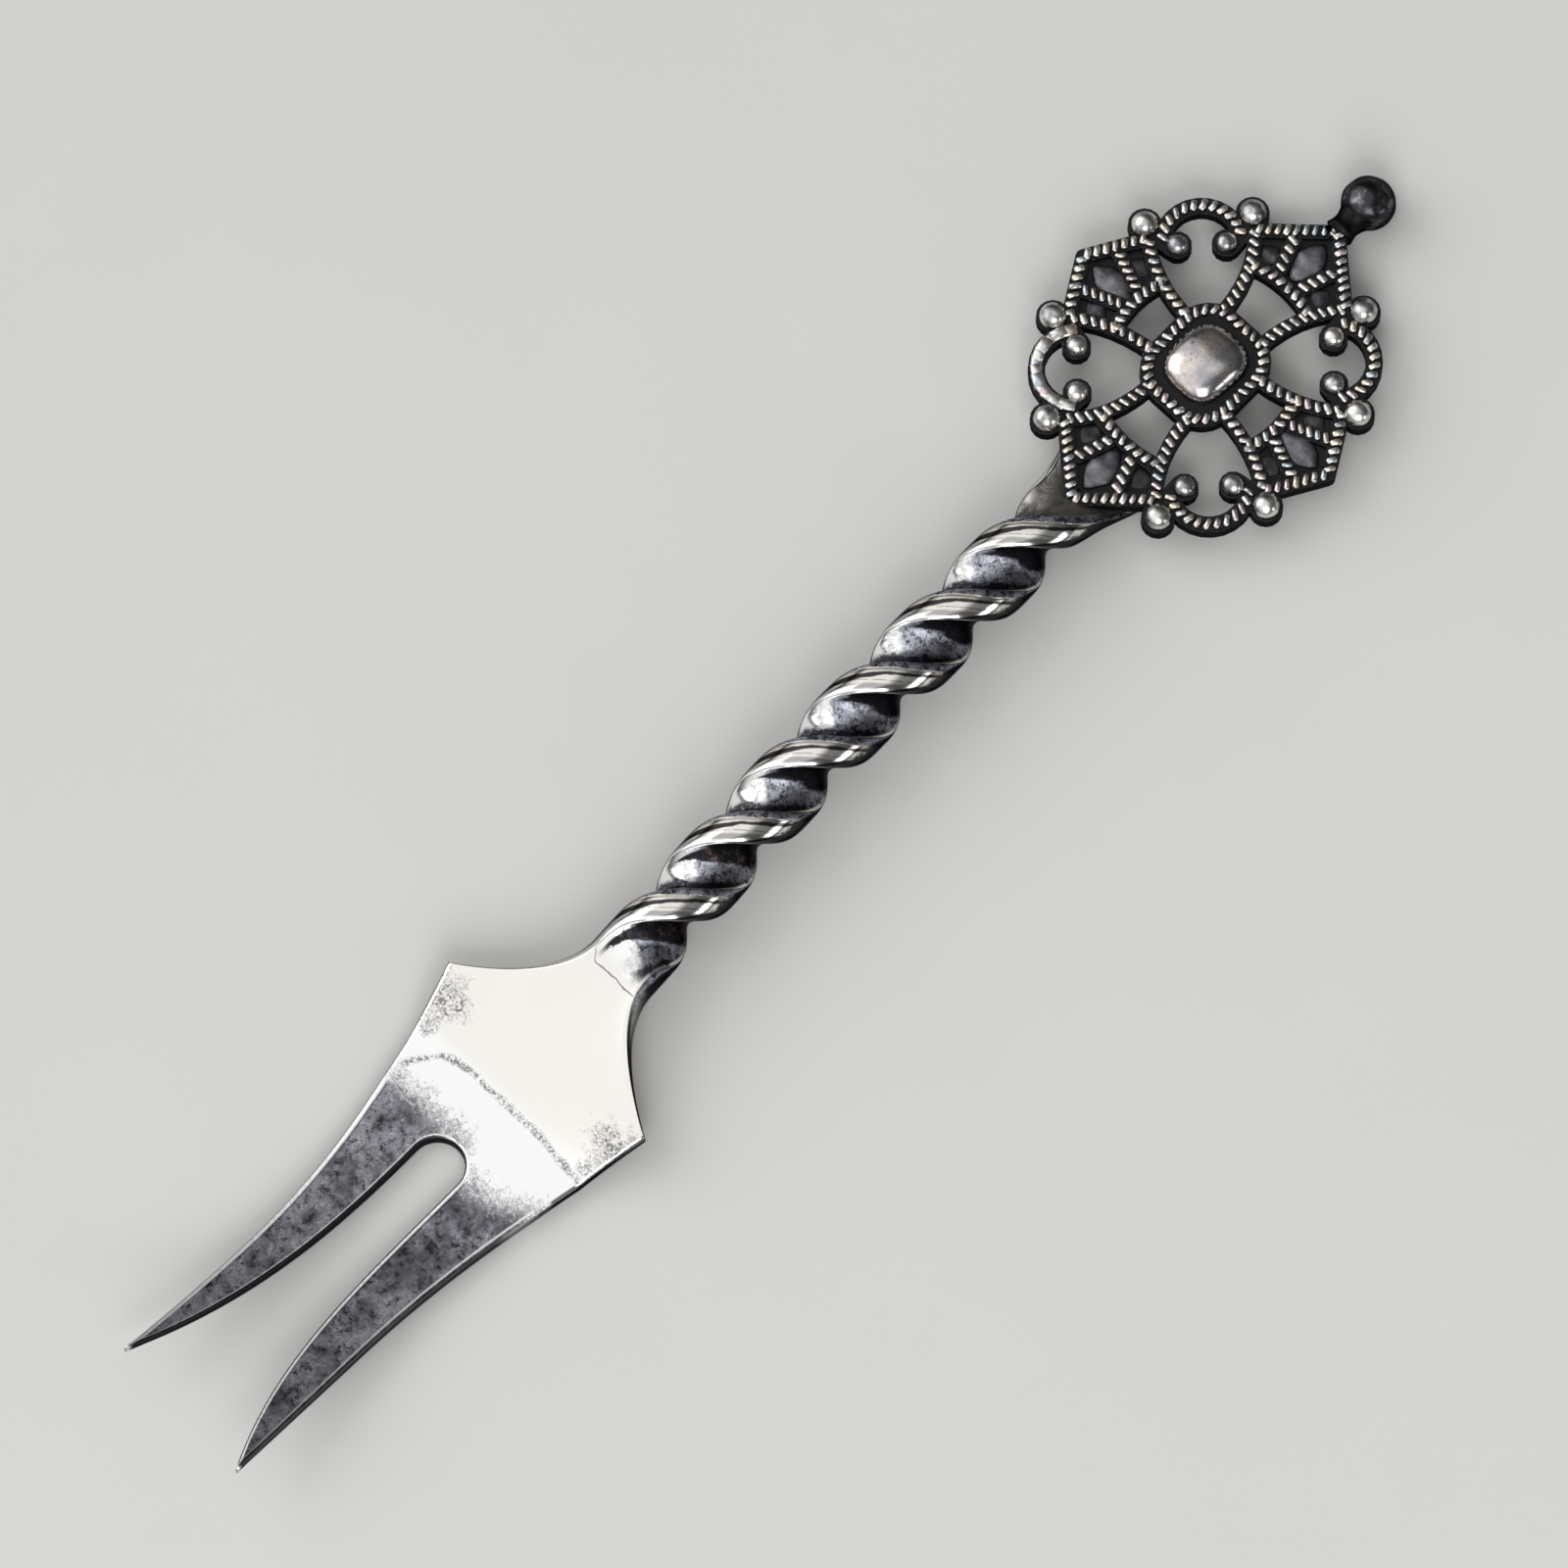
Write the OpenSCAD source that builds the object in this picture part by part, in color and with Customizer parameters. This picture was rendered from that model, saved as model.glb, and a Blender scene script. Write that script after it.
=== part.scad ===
// Small two-tined serving fork: a flat head, a twisted bar for a stem, and a cast, pierced finial.
// X runs from the tines to the ball, Y across the fork and Z up. The fork lies on a table at Z = 0,
// touching it with the flat heel under the head and with the ball.

/* [Tines] */
// Length of the slot between the tines
tine_l = 32; // [26:0.5:38]
// Width of the slot at its round end
slot_w = 4.4; // [3.6:0.1:5]
// How far the slot's round end is set towards the short tine
slot_set = 0.2; // [0:0.05:0.4]
// How much shorter one tine is than the other
tine_short = 1.3; // [0:0.1:1.5]
// Distance from the middle of the tines to each tip
tip_reach = 6.8; // [6:0.1:7.6]
// How far the tips swing towards the short tine's side
tip_swing = 0.3; // [0:0.05:0.6]
// How far the outer edges of the tines bow in
tine_bow = 0.3; // [0:0.05:0.4]
// Height that the tips rise above the heel
tip_rise = 4.6; // [2:0.1:7]
// Thickness of the tines at their tips
tip_t = 1; // [0.7:0.1:1.2]

/* [Head] */
// Thickness of the head
head_t = 1.5; // [1.2:0.1:2]
// Width across the two sharp corners
head_w = 21.4; // [18:0.2:24]
// Length of the flat heel, from the slot to the crease
heel_l = 5.2; // [3:0.2:8]
// Length from the crease to the corners
cheek_l = 5; // [3:0.2:8]
// Length of the hollow shoulders, from the corners to the neck
shoulder_l = 8.9; // [6:0.1:12]
// Length over which the outer edges sweep in from the corners to the tines
edge_sweep = 28; // [20:0.5:34]
// Rounding of the edges of the head
head_edge_r = 0.35; // [0.2:0.05:0.5]
// How far the head is set to one side of the stem
head_set = 0.9; // [0:0.1:1.5]
// Length over which the stem swings out to the head's side
set_l = 34; // [24:1:44]

/* [Stem] */
// Width of the twisted bar
stem_w = 6.5; // [5.8:0.1:7]
// Thickness of the twisted bar
stem_t = 3.7; // [3.6:0.1:4.4]
// Width of the bevel beside each edge of a broad face
bevel_w = 0.85; // [0.6:0.05:1.2]
// Depth of that bevel
bevel_h = 1; // [0.7:0.05:1.4]
// How far the crest along the middle of each narrow side stands out
crest = 0.15; // [0.05:0.05:0.3]
// Depth of the hollow along each broad face of the bar
stem_hollow = 0.15; // [0:0.05:0.4]
// Length of the twisted stretch
twist_l = 55.3; // [46:0.1:66]
// Half turns in the twist
half_turns = 6; // [2:2:10]
// Length over which the twist starts
twist_start = 3; // [2:0.5:6]
// Length over which the twist dies away into the tab
twist_settle = 7; // [4:0.5:9]
// Height of the middle of the bar at the neck
neck_z = 3.8; // [3.7:0.1:5]
// Height of the middle of the bar where it starts down to the tab
stem_end_z = 3.7; // [3.7:0.1:5]
// Extra height of the stem half way along
arch = 0.5; // [0:0.1:2]

/* [Tab] */
// Length of the flat tab after the twist
tab_l = 2.5; // [2:0.1:4]
// Width of the tab
tab_w = 9.4; // [8:0.1:10]
// Thickness of the tab
tab_t = 1.1; // [0.8:0.1:1.5]
// Length of the tab that the finial laps over
lap_l = 5.85; // [4.8:0.05:6.2]
// Depth filed off the top of the tab to seat the finial
seat_cut = 0.05; // [0.02:0.01:0.1]

/* [Finial] */
// Length of the finial between its side tips
finial_l = 32.1; // [30:0.1:34]
// Width of the finial between its end tips
finial_w = 27.8; // [26:0.1:29]
// Thickness of the cast plate
cast_t = 1.3; // [1:0.1:1.8]
// Slope of the finial, down towards the ball, in degrees
finial_slope = 2; // [0:0.1:3]
// Width of the bars that carry the ropes
bar_w = 1.15; // [1:0.05:1.4]
// Length of the ring around the boss
ring_l = 8.6; // [8:0.1:9.2]
// Width of the ring around the boss
ring_w = 7.5; // [7:0.1:8]
// Radius of the ring's corners
ring_r = 2.6; // [2:0.1:3]
// Distance from a side panel's tip to its cross bar
side_bar_in = 6.85; // [6.4:0.05:7.3]
// Distance from an end panel's tip to its cross bar
end_bar_in = 6.2; // [5.8:0.05:6.6]
// Length of a side panel, from its shoulders to its tip
side_panel_l = 5.05; // [4.6:0.05:5.5]
// Width of a side panel across its shoulders
side_panel_w = 9.9; // [9.2:0.1:10.4]
// Length of an end panel, from its shoulders to its tip
end_panel_l = 3.3; // [2.8:0.05:3.6]
// Width of an end panel across its shoulders
end_panel_w = 9.2; // [8.6:0.1:9.8]
// Depth of the cells sunk into the panels
cell_depth = 0.45; // [0.2:0.05:0.7]
// Distance from a side panel's tip to the middle of its raised kite
side_kite_in = 4.1; // [3.9:0.05:4.3]
// Distance from an end panel's tip to the middle of its raised kite
end_kite_in = 3.8; // [3.6:0.05:4]
// Length of the raised kites
kite_l = 3.4; // [2.6:0.1:3.8]
// Width of the raised kites
kite_w = 1.8; // [1.4:0.1:2.2]

/* [Scrolls and beads] */
// Radius of the scrolls' ropes
scroll_r = 3.2; // [3:0.05:3.4]
// Width of the bar under a scroll's rope
scroll_w = 1.35; // [1.2:0.05:1.6]
// Distance of a scroll's middle inside the line between its panels
scroll_in = 0.8; // [0.5:0.05:1.1]
// Diameter of the outer beads
bead_d = 2.3; // [2:0.05:2.5]
// Diameter of the beads at the scrolls' ends
eye_d = 1.9; // [1.6:0.05:2.1]
// Depth that the beads' middles are sunk below the top of the plate
bead_sink = 0.1; // [0:0.05:0.3]
// Width of the flat collar around each bead
collar = 0.22; // [0.1:0.02:0.3]

/* [Rope] */
// Distance between the grains of the ropes
grain_pitch = 1; // [0.7:0.05:1.2]
// Width of the ropes
rope_w = 1.0; // [0.8:0.05:1.1]
// Height of the ropes above the bars
rope_h = 0.45; // [0.3:0.05:0.6]
// Slant of the grains, in degrees
grain_slant = 18; // [0:1:35]

/* [Boss and ball] */
// Length of the boss
boss_l = 6.5; // [6:0.1:7]
// Width of the boss
boss_w = 5.7; // [5.2:0.1:6.2]
// Height of the boss above the plate
boss_h = 1.7; // [1:0.1:2.4]
// Diameter of the ball
ball_d = 4.5; // [4:0.1:5]
// Height of the ball's middle above the back of the plate
ball_up = 0.9; // [0.7:0.05:1.2]
// Length of the neck between the finial's tip and the ball
ball_neck = 0.7; // [0.2:0.1:1]
// Thickness of that neck
neck_d = 2; // [1.2:0.1:2.6]

/* [Hidden] */

over = 1;
tip_edge = 0.2;
end_w = 3;
drop_l = 6;
flare_l = 7;
round_l = 1.8;
bevel_belly = 0.47;
round_belly = 0.293;
short_bend = 2.6;
long_bend = 3.4;
ring_rim = 0.05;
scroll_trim = [5, 4];

half_l = finial_l / 2;
half_w = finial_w / 2;
side_bar_r = half_l - side_bar_in;
end_bar_r = half_w - end_bar_in;
ball_x = half_l + ball_neck + ball_d / 2;
overall = tine_l + heel_l + cheek_l + shoulder_l + twist_l + tab_l - lap_l + half_l + ball_x + ball_d / 2;

// Places along the fork
x_tip = -overall / 2;
x_slot = x_tip + tine_l;
x_crease = x_slot + heel_l;
x_corner = x_crease + cheek_l;
x_neck = x_corner + shoulder_l;
x_tab = x_neck + twist_l;
x_end = x_tab + tab_l;
finial_x = x_end - lap_l + half_l;
finial_z = ball_d / 2 - ball_up * cos(finial_slope) + ball_x * sin(finial_slope);

// Places on the finial, in the quarter where both are positive
side_joint = [half_l - side_panel_l, side_panel_w / 2];
end_joint = [end_panel_w / 2, half_w - end_panel_l];
joint_line = end_joint - side_joint;
scroll_c = (side_joint + end_joint) / 2 + scroll_in * [-joint_line.y, joint_line.x] / norm(joint_line);
scroll_a = atan2(side_joint.y - scroll_c.y, side_joint.x - scroll_c.x) - scroll_trim[0];
scroll_b = atan2(end_joint.y - scroll_c.y, end_joint.x - scroll_c.x) + scroll_trim[1];
eye_reach = 1.95;
bead_out = bead_d / 2 + 0.45;
end_shoulder = [end_joint.x / 2, end_joint.y + 0.42 * end_panel_l];

function mix(a, b, u) = a + (b - a) * u;
function clip(u) = min(max(u, 0), 1);
function ease(u) = let (v = clip(u)) v * v * (3 - 2 * v);
function steps(a, b, n) = [for (i = [0 : n - 1]) mix(a, b, i / n)];

// The fork from tips to tab: each size is a function of the place along X

// Share of the bar's own section: 0 on the head and the tab, 1 on the twisted stretch
function bar_share(x) =
    min(ease((x - x_corner) / shoulder_l), 1 - ease((x - x_tab + drop_l) / drop_l));

function outer_w(x) =
    x < x_corner ?
        let (v = clip((x_slot - x) / tine_l))
        mix(tip_reach, head_w / 2, pow(clip(1 - (x_corner - x) / edge_sweep), 2)) - 4 * tine_bow * v * (1 - v)
    : x < x_neck ? mix(stem_w / 2, head_w / 2, pow(1 - (x - x_corner) / shoulder_l, 2))
    : let (flare = mix(stem_w, tab_w, ease((x - x_tab + flare_l / 2) / flare_l)) / 2)
      let (k = clip((x - x_end + round_l) / round_l))
      mix(end_w / 2, flare, sqrt(1 - k * k));

function half_t(x) =
    x < x_slot ? mix(head_t, tip_t, pow((x_slot - x) / tine_l, 2)) / 2
    : x < x_neck + 1 ? mix(head_t, stem_t, bar_share(x)) / 2
    : mix(tab_t + 2 * seat_cut, stem_t, bar_share(x)) / 2;

function back_z(x) = finial_z - (x - finial_x) * tan(finial_slope);

function middle_z(x) =
    x < x_slot ? head_t / 2 + tip_rise * pow((x_slot - x) / tine_l, 2)
    : x < x_crease ? head_t / 2
    : x < x_neck ? mix(head_t / 2, neck_z, sin(90 * (x - x_crease) / (x_neck - x_crease)))
    : let (u = (x - x_neck) / (x_tab - drop_l - x_neck))
      let (stem = mix(neck_z, stem_end_z, clip(u)) + 4 * arch * clip(u) * (1 - clip(u)))
      mix(stem, back_z(x) - tab_t / 2, ease((x - x_tab + drop_l) / drop_l));

function middle_y(x) =
    x < x_slot ? tip_swing * pow((x_slot - x) / tine_l, 2) - head_set
    : -head_set * (1 - ease((x - x_corner) / set_l));

// The twist turns at one rate and starts and stops gently
function twist_at(x) =
    let (d = clip((x - x_neck) / twist_l) * twist_l)
    let (total = 180 * half_turns)
    let (rate = total / (twist_l - (twist_start + twist_settle) / 2))
    d < twist_start ? rate * d * d / (2 * twist_start)
    : d > twist_l - twist_settle ? total - rate * pow(twist_l - d, 2) / (2 * twist_settle)
    : rate * (d - twist_start / 2);

// The section in one quarter: over one bevelled edge, then the hollow along the middle of the broad face
function quarter(w, t, share) =
    let (side = w - crest * share, belly = mix(round_belly, bevel_belly, share))
    let (bw = mix(head_edge_r, bevel_w - crest, share), bh = mix(head_edge_r, bevel_h, share))
    [[side, t - bh], [side - belly * bw, t - belly * bh], [side - bw, t], [0, t - stem_hollow * share]];
function section(w, q) = concat(
    [[w, 0]], q, [for (i = [2 : -1 : 0]) [-q[i].x, q[i].y]],
    [[-w, 0]], [for (i = [0 : 3]) -q[i]], [for (i = [2 : -1 : 0]) [q[i].x, -q[i].y]]);

function ring_at(x) =
    let (a = twist_at(x), w = outer_w(x))
    [for (p = section(w, quarter(w, half_t(x), bar_share(x))))
        [x, middle_y(x) + p.x * cos(a) - p.y * sin(a), middle_z(x) + p.x * sin(a) + p.y * cos(a)]];

fork_stations = concat(
    steps(x_tip, x_slot, 16), steps(x_slot, x_crease, 2), steps(x_crease, x_corner, 3),
    steps(x_corner, x_neck, 9), steps(x_neck, x_tab, 10 * half_turns),
    steps(x_tab, x_end - round_l, 3), steps(x_end - round_l, x_end, 4), [x_end]);

// Skin over a list of rings that all have as many points
module loft(rings) {
    n = len(rings[0]);
    m = len(rings);
    sides = [for (i = [0 : m - 2], j = [0 : n - 1])
        let (a = i * n + j, b = i * n + (j + 1) % n)
        each [[a, a + n, b], [b, a + n, b + n]]];
    low = [for (j = [0 : n - 1]) j];
    high = [for (j = [n - 1 : -1 : 0]) (m - 1) * n + j];
    polyhedron(points = [for (r = rings) each r], faces = concat(sides, [low, high]));
}

// How far one side of the slot lies from its middle line: a round end, then opening to that side's tip
slot_r = slot_w / 2;
function slot_side(x, reach, length, power) =
    let (d = x_slot - x)
    d < slot_r ? sqrt(max(0, slot_r * slot_r - pow(slot_r - d, 2)))
    : d > length ? reach + over
    : mix(slot_r, reach, pow((d - slot_r) / (length - slot_r), power));

slot_stations = concat(
    [x_tip - over, x_tip, x_tip + tine_short - 0.01], steps(x_tip + tine_short, x_slot - slot_r, 14),
    [for (a = [0 : 18 : 90]) x_slot - slot_r + slot_r * sin(a)]);

// The outline of the slot's cut at one place along it
function slot_slice(x) =
    let (at = max(x, x_tip), y = middle_y(at) + slot_set, z = middle_z(at), t = head_t + over)
    let (a = y - slot_side(at, tip_reach - tip_edge + slot_set, tine_l, long_bend))
    let (b = y + slot_side(at, tip_reach - tip_edge - slot_set, tine_l - tine_short, short_bend))
    [[x, a, z - t], [x, b, z - t], [x, b, z + t], [x, a, z + t]];

// The slot is cut in short blocks, one from each place to the next
module slot() {
    for (i = [0 : len(slot_stations) - 2])
        hull() loft([slot_slice(slot_stations[i]), slot_slice(slot_stations[i + 1])]);
}

module on_finial() translate([finial_x, 0, finial_z]) rotate([0, finial_slope, 0]) children();

module fork_and_stem() {
    color("silver")
    difference() {
        loft([for (x = fork_stations) ring_at(x)]);
        slot();
        on_finial() translate([-half_l, -tab_w, 0]) cube([finial_l, 2 * tab_w, stem_w]);
    }
}

// Paths on the finial

function bend(a, b, c, n = 6) = [for (i = [0 : n]) let (u = i / n) mix(mix(a, b, u), mix(b, c, u), u)];
function arc(c, r, from, to, n) = [for (i = [0 : n]) let (a = mix(from, to, i / n)) c + r * [cos(a), sin(a)]];
function polar(r, a) = r * [cos(a), sin(a)];

side_arm = bend([ring_l / 2 - 0.2, ring_w / 2 - 1.7], [side_bar_r - 0.8, 2.3], side_joint);
end_arm = bend([ring_l / 2 - 2.3, ring_w / 2 + 0.1], [ring_l / 2 - 2, end_bar_r - 0.1], end_joint);
side_edge = bend(side_joint, [half_l - 2.9, side_panel_w / 4], [half_l - bar_w / 2, 0]);
end_edge = concat([end_joint, end_shoulder], [[0, half_w - bar_w / 2]]);
side_bar = arc([0, 0], side_bar_r, 0, 20, 4);
end_bar = arc([0, 0], end_bar_r, 90, 67, 4);
side_rib = [[side_bar_r + 0.5, 1.1], side_edge[3] - [0.4, 0.3]];
end_rib = [[0.85, end_bar_r + 0.5], end_shoulder - [0.15, 0.5]];
scroll = arc(scroll_c, scroll_r, scroll_a, scroll_b, 12);

// Half of the ring, as one path from its side to its opposite side
ring = concat(
    [[ring_l / 2, 0]],
    arc([ring_l / 2 - ring_r, ring_w / 2 - ring_r], ring_r, 0, 90, 6),
    arc([ring_r - ring_l / 2, ring_w / 2 - ring_r], ring_r, 90, 180, 6),
    [[-ring_l / 2, 0]]);

// Beads: two at the scroll's ends, and two outside it
eyes = [scroll_c + polar(eye_reach, scroll_a - 9), scroll_c + polar(eye_reach, scroll_b + 5)];
beads = [
    scroll_c + polar(scroll_r + bead_out, scroll_a + 22),
    scroll_c + polar(scroll_r + bead_out, scroll_b - 18)];

module both() {
    children();
    mirror([0, 1, 0]) children();
}

module quarters() {
    both() {
        children();
        mirror([1, 0, 0]) children();
    }
}

// A flat strip of one width along a path
function heading(path, i) = let (d = path[min(i + 1, len(path) - 1)] - path[max(i - 1, 0)]) d / norm(d);
function beside(path, d) =
    [for (i = [0 : len(path) - 1]) let (h = heading(path, i)) path[i] + d * [-h.y, h.x]];
module strip(path, w) {
    right = beside(path, -w / 2);
    polygon(concat(beside(path, w / 2), [for (i = [len(path) - 1 : -1 : 0]) right[i]]));
}

// The plate in outline: bars, scrolls, panels and the collars of the beads
module plate_outline() {
    quarters() {
        strip(side_arm, bar_w);
        strip(end_arm, bar_w);
        strip(scroll, scroll_w);
        polygon(beside(ring, -bar_w / 2 - ring_rim));
        polygon(concat([[side_bar_r - bar_w / 2, 0]], [for (p = side_bar) p - [bar_w / 2, 0]],
            beside(side_edge, bar_w / 2), [[half_l, 0]]));
        polygon(concat([[0, end_bar_r - bar_w / 2]], [for (p = end_bar) p - [0, bar_w / 2]],
            beside(end_edge, -bar_w / 2), [[0, half_w]]));
        for (p = beads) translate(p) circle(d = bead_d + 2 * collar, $fn = 16);
        for (i = [0, 1]) hull() {
            translate(eyes[i]) circle(d = eye_d + 2 * collar, $fn = 12);
            translate(scroll[i * (len(scroll) - 1)]) circle(d = bar_w, $fn = 8);
        }
    }
}

// The sunk cells of the panels, one kite and two side cells in each
module cells() {
    gap = rope_w / 2 + 0.1;
    quarters() {
        difference() {
            polygon(concat([[side_bar_r + gap, 0]], [[side_bar_r - 0.2 + gap, side_bar[4].y]],
                beside(side_edge, -gap), [[half_l - 2, 0]]));
            strip(side_rib, 2 * gap);
            strip(side_arm, 2 * gap);
        }
        difference() {
            polygon(concat([[0, end_bar_r + gap]], [[end_bar[4].x, end_bar_r - 0.3 + gap]],
                beside(end_edge, gap), [[0, half_w - 2]]));
            strip(end_rib, 2 * gap);
            strip(end_arm, 2 * gap);
        }
    }
}

// A rope: slanted grains at equal distances along a path
function lengths(path, i = 0, sum = 0) =
    i == len(path) - 1 ? [sum] : concat([sum], lengths(path, i + 1, sum + norm(path[i + 1] - path[i])));
module rope(path) {
    s = lengths(path);
    xs = [for (i = [0 : len(s) - 1]) [s[i], path[i].x]];
    ys = [for (i = [0 : len(s) - 1]) [s[i], path[i].y]];
    total = s[len(s) - 1];
    count = max(2, round(total / grain_pitch));
    pitch = total / count;
    for (i = [0 : count - 1]) {
        d = (i + 0.5) * pitch;
        a = [lookup(d - 0.2, xs), lookup(d - 0.2, ys)];
        b = [lookup(d + 0.2, xs), lookup(d + 0.2, ys)];
        translate((a + b) / 2) rotate(atan2(b.y - a.y, b.x - a.x)) grain(pitch);
    }
}

module grain(pitch) {
    lean = rope_w / 2 * tan(grain_slant);
    g = 0.4 * pitch;
    translate([0, 0, cast_t - 0.1])
        linear_extrude(rope_h + 0.1, scale = 0.55)
        polygon([[-g - lean, -rope_w / 2], [g - lean, -rope_w / 2],
            [g + lean, rope_w / 2], [lean - g, rope_w / 2]]);
}

module ropes() {
    quarters() {
        rope(side_arm);
        rope(end_arm);
        rope(scroll);
        rope(side_edge);
        rope(end_edge);
        rope(side_rib);
        rope(end_rib);
        rope(side_bar);
        rope(end_bar);
    }
    both() rope(ring);
}

// The boss: a cushion with rounded corners under a low dome
module boss() {
    function cushion(k, z) = [for (a = [0 : 15 : 345])
        let (c = cos(a), s = sin(a), q = pow(pow(abs(c), 3) + pow(abs(s), 3), -1 / 3))
        [k * boss_l / 2 * q * c, k * boss_w / 2 * q * s, z]];
    loft(concat([cushion(1, cast_t - 0.2)],
        [for (a = [0 : 18 : 72]) cushion(cos(a), cast_t + boss_h * sin(a))],
        [cushion(0.1, cast_t + boss_h)]));
}

// A low kite stands on the floor of the middle cell of each panel
module kite(length, width)
    translate([0, 0, cast_t - cell_depth - 0.1])
    scale([length / 2, width / 2, 1]) cylinder(r1 = 1, r2 = 0.3, h = cell_depth + 0.1, $fn = 4);

module kites() {
    for (k = [-1, 1]) {
        translate([k * (half_l - side_kite_in), 0, 0]) kite(kite_l, kite_w);
        translate([0, k * (half_w - end_kite_in), 0]) kite(kite_w, kite_l);
    }
}

module finial() {
    color("dimgray")
    on_finial() {
        difference() {
            linear_extrude(cast_t) plate_outline();
            translate([0, 0, cast_t - cell_depth]) linear_extrude(cast_t) cells();
        }
        kites();
        ropes();
        boss();
        quarters() {
            for (p = beads) translate([p.x, p.y, cast_t - bead_sink]) sphere(d = bead_d, $fn = 14);
            for (p = eyes) translate([p.x, p.y, cast_t - bead_sink]) sphere(d = eye_d, $fn = 10);
        }
        translate([ball_x, 0, ball_up]) sphere(d = ball_d, $fn = 20);
        translate([half_l - over, 0, ball_up]) rotate([0, 90, 0])
            cylinder(d = neck_d, h = ball_neck + 2 * over, $fn = 16);
    }
}

fork_and_stem();
finial();
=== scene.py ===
import math
import random

import bmesh
import bpy
from mathutils import Matrix, Vector, noise


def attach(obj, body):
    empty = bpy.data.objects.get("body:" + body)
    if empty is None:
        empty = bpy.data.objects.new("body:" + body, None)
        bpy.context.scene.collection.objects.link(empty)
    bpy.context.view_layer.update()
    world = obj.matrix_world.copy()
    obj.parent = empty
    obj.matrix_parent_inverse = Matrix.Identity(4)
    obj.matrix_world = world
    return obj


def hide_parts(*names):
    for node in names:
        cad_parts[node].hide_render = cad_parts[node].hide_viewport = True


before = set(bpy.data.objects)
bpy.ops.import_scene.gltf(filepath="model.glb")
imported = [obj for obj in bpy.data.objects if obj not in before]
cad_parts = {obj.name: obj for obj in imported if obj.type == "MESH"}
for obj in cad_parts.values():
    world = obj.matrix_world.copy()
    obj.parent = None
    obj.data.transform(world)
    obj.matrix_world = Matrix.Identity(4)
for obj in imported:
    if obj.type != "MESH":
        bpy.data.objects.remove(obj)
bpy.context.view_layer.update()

print("frame loaded:", sorted(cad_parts))

# Sizes are in millimetres and degrees, and a finished mesh is brought to metres. The stage is in metres.
# X runs from the tines to the ball, Y across the fork and Z up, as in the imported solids.

forkSizes = {
    "tineLength": 32, "slotWidth": 4.4, "slotSet": 0.2, "tineShort": 1.3, "tipReach": 6.8, "tipSwing": 0.3,
    "tineBow": 0.3, "tipRise": 4.6, "tipThick": 1.0, "tipEdge": 0.2, "shortBend": 2.6, "longBend": 3.4,
    "headThick": 1.5, "headWidth": 21.4, "heelLength": 5.2, "cheekLength": 5, "shoulderLength": 8.9,
    "edgeSweep": 28, "headEdge": 0.32, "headSet": 0.9, "setLength": 34, "creaseBow": 0.013,
    "stemWidth": 6.4, "stemThick": 3.55, "noseReach": 0.8, "noseTurn": 74, "stemHollow": 0.25,
    "twistLength": 55.3, "halfTurns": 6, "twistStart": 3, "twistSettle": 7,
    "neckHeight": 3.8, "stemEndHeight": 3.7, "arch": 0.5,
    "tabLength": 2.5, "tabWidth": 9.4, "tabThick": 1.1, "lap": 5.85, "endWidth": 3,
    "dropLength": 6, "flareLength": 7, "endRound": 1.8,
}

finialSizes = {
    "length": 32.1, "width": 27.8, "plate": 1.3, "slope": 2, "barWidth": 1.15,
    "ringLength": 8.6, "ringWidth": 7.5, "ringRound": 2.6,
    "sideBarIn": 6.85, "endBarIn": 6.2, "cellDepth": 0.45,
    "sidePanelLength": 5.05, "sidePanelWidth": 9.9, "endPanelLength": 3.3, "endPanelWidth": 9.2,
    "sideKiteIn": 4.1, "endKiteIn": 3.8, "kiteLength": 4.3, "kiteWidth": 2.8, "kiteHeight": 0.54,
    "swellSize": 1.9, "swellHeight": 0.16,
    "scrollRadius": 3.2, "scrollIn": 0.8, "beadSize": 2.3, "eyeSize": 1.9, "eyeReach": 1.95, "beadSink": 0.1,
    "bossLength": 6.5, "bossWidth": 5.7, "bossHeight": 1.7,
    "ballSize": 4.5, "ballUp": 0.9, "ballNeck": 0.7, "neckSize": 2.3,
}


def between(a, b, share):
    return a + (b - a) * share


def clip(share):
    return min(max(share, 0), 1)


def ease(share):
    held = clip(share)
    return held * held * (3 - 2 * held)


def spaced(low, high, count):
    return [between(low, high, i / count) for i in range(count)]


f, g = forkSizes, finialSizes
halfLength, halfWidth = g["length"] / 2, g["width"] / 2
ballX = halfLength + g["ballNeck"] + g["ballSize"] / 2
overall = (f["tineLength"] + f["heelLength"] + f["cheekLength"] + f["shoulderLength"] + f["twistLength"]
           + f["tabLength"] - f["lap"] + halfLength + ballX + g["ballSize"] / 2)
tipX = -overall / 2
slotX = tipX + f["tineLength"]
creaseX = slotX + f["heelLength"]
cornerX = creaseX + f["cheekLength"]
neckX = cornerX + f["shoulderLength"]
tabX = neckX + f["twistLength"]
endX = tabX + f["tabLength"]
slope = math.radians(g["slope"])
finialPlace = Vector((endX - f["lap"] + halfLength, 0,
                      g["ballSize"] / 2 - g["ballUp"] * math.cos(slope) + ballX * math.sin(slope)))
onFinial = Matrix.Translation(finialPlace) @ Matrix.Rotation(slope, 4, "Y")
perMetre = 1000
toMetres = Matrix.Scale(1 / perMetre, 4)


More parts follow.
